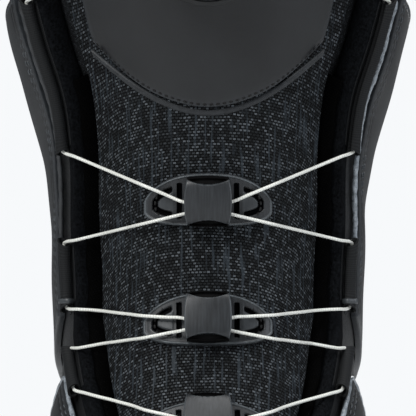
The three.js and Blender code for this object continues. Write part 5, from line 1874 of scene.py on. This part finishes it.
def outsole(name, from_y, to_y):
    """A tread unit: a plate with lugs under it, inside the sole's outline."""
    outline, normal = sole_ring()
    edge = outline - normal * (TREAD_INSET + 0.6)
    inside = (edge[:, 1] > from_y) & (edge[:, 1] < to_y)
    ys = np.linspace(from_y, to_y, max(8, int((to_y - from_y) / 5)))
    left, right = edge[inside & (edge[:, 0] < -5)], edge[inside & (edge[:, 0] > -5)]
    left, right = left[np.argsort(left[:, 1])], right[np.argsort(right[:, 1])]
    x0, x1 = np.interp(ys, left[:, 1], left[:, 0]), np.interp(ys, right[:, 1], right[:, 0])
    profile = [(0.0, 7.7), (0.0, 4.6), (0.5, PLATE_FOOT), (3.0, PLATE_FOOT)]
    rings = []
    for y, a, b in zip(ys, x0, x1):
        end_inset = 1.2 * math.exp(-min(y - from_y, to_y - y) / 1.5)
        row = [(b - inset - end_inset, z) for inset, z in profile]
        row += [(a + inset + end_inset, z) for inset, z in profile[::-1]]
        rings.append([(x, y, z + toe_spring(y)) for x, z in row])
    rings = np.array(rings)
    count = rings.shape[1]
    faces = ring_faces(len(ys), count)
    faces += [tuple(range(count)), tuple((len(ys) - 1) * count + i for i in range(count))]
    plate = outwards(finished(name, rings.reshape(-1, 3), faces, TREAD_RUBBER))
    places, sizes = [], []
    rows = int((to_y - from_y - 6) / LUG_PITCH[1])
    for j in range(rows):
        y = (from_y + to_y) / 2 + (j - (rows - 1) / 2) * LUG_PITCH[1]
        a, b = np.interp(y, ys, x0) + 1.5, np.interp(y, ys, x1) - 1.5
        across = max(1, round((b - a) / LUG_PITCH[0]))
        width = (b - a) / across
        for i in range(across):
            x = a + width * (i + 0.5)
            places.append((x, y, PLATE_FOOT + toe_spring(y) + 0.05))
            sizes.append((width - 2.6, LUG_PITCH[1] - 3.0, PLATE_FOOT))
    lugs = repeated(
        name + "_lugs",
        SCATTER_TREE,
        [(np.array(places), np.tile([0.0, 0, 1], (len(places), 1)))],
        LUG,
        TREAD_RUBBER,
        sizes=np.array(sizes) * MM,
    )
    return joined(name, [plate, lugs])


LUG = lug_shape()
dress(outsole("outsole_forefoot", -154, 12), "boot", "tread_rubber", "outsole_forefoot")
dress(outsole("outsole_heel", 40, 154), "boot", "tread_rubber", "outsole_heel")
bpy.data.objects.remove(LUG)


# ---- stitches --------------------------------------------------------------
def stitch_shape(name, length, radius, bow=0.25):
    """One sewn thread float, bowed up in its middle, with six sides."""
    x = np.array([-1, -0.82, -0.4, 0, 0.4, 0.82, 1]) * length / 2
    r = radius * np.array([0.15, 0.75, 1, 1, 1, 0.75, 0.15])
    z = -bow * (np.abs(x) / (length / 2)) ** 2
    angle = circle(6)
    wide, high = r[:, None] * np.cos(angle), z[:, None] + r[:, None] * np.sin(angle)
    points = np.stack([np.repeat(x, 6), wide.ravel(), high.ravel()], -1)
    faces = [*ring_faces(7, 6), tuple(range(6)), tuple(36 + i for i in range(6))]
    return outwards(finished(name, points, faces, THREAD))


STITCH = stitch_shape("stitch", 2.3, 0.3)
SHORT_STITCH = stitch_shape("short_stitch", 1.3, 0.4, bow=0.1)
dress(
    repeated("panel_stitching", ROW_TREE, SEAMS["boot"], STITCH, THREAD, pitch=3.0), "boot", "upper_leather"
)

# The stitches in the patch's needle pits and in the wings' grooves are painted black as shade.
patch_turns = np.linspace(-PATCH_TURN + 2, PATCH_TURN - 2, 200)
patch_stations = patch_foot(patch_turns) + PIT_INSET / RISE_AT_PATCH
place, out, *_ = frame_at(patch_stations, patch_turns)
pits = [(place + out * (tongue_face(patch_stations, patch_turns) + SEAT + PATCH_SKIN - 0.22)[:, None], out)]
dress(
    repeated("patch_needle_pits", ROW_TREE, pits, SHORT_STITCH, SHADED_THREAD, pitch=2.05),
    "tongue_assembly",
    "smooth_leather",
)
dress(
    repeated("wing_stitching", ROW_TREE, GROOVE_STITCHES, SHORT_STITCH, SHADED_THREAD, pitch=1.9),
    "tongue_assembly",
    "guide_nylon",
)
for shape in (STITCH, SHORT_STITCH):
    bpy.data.objects.remove(shape)
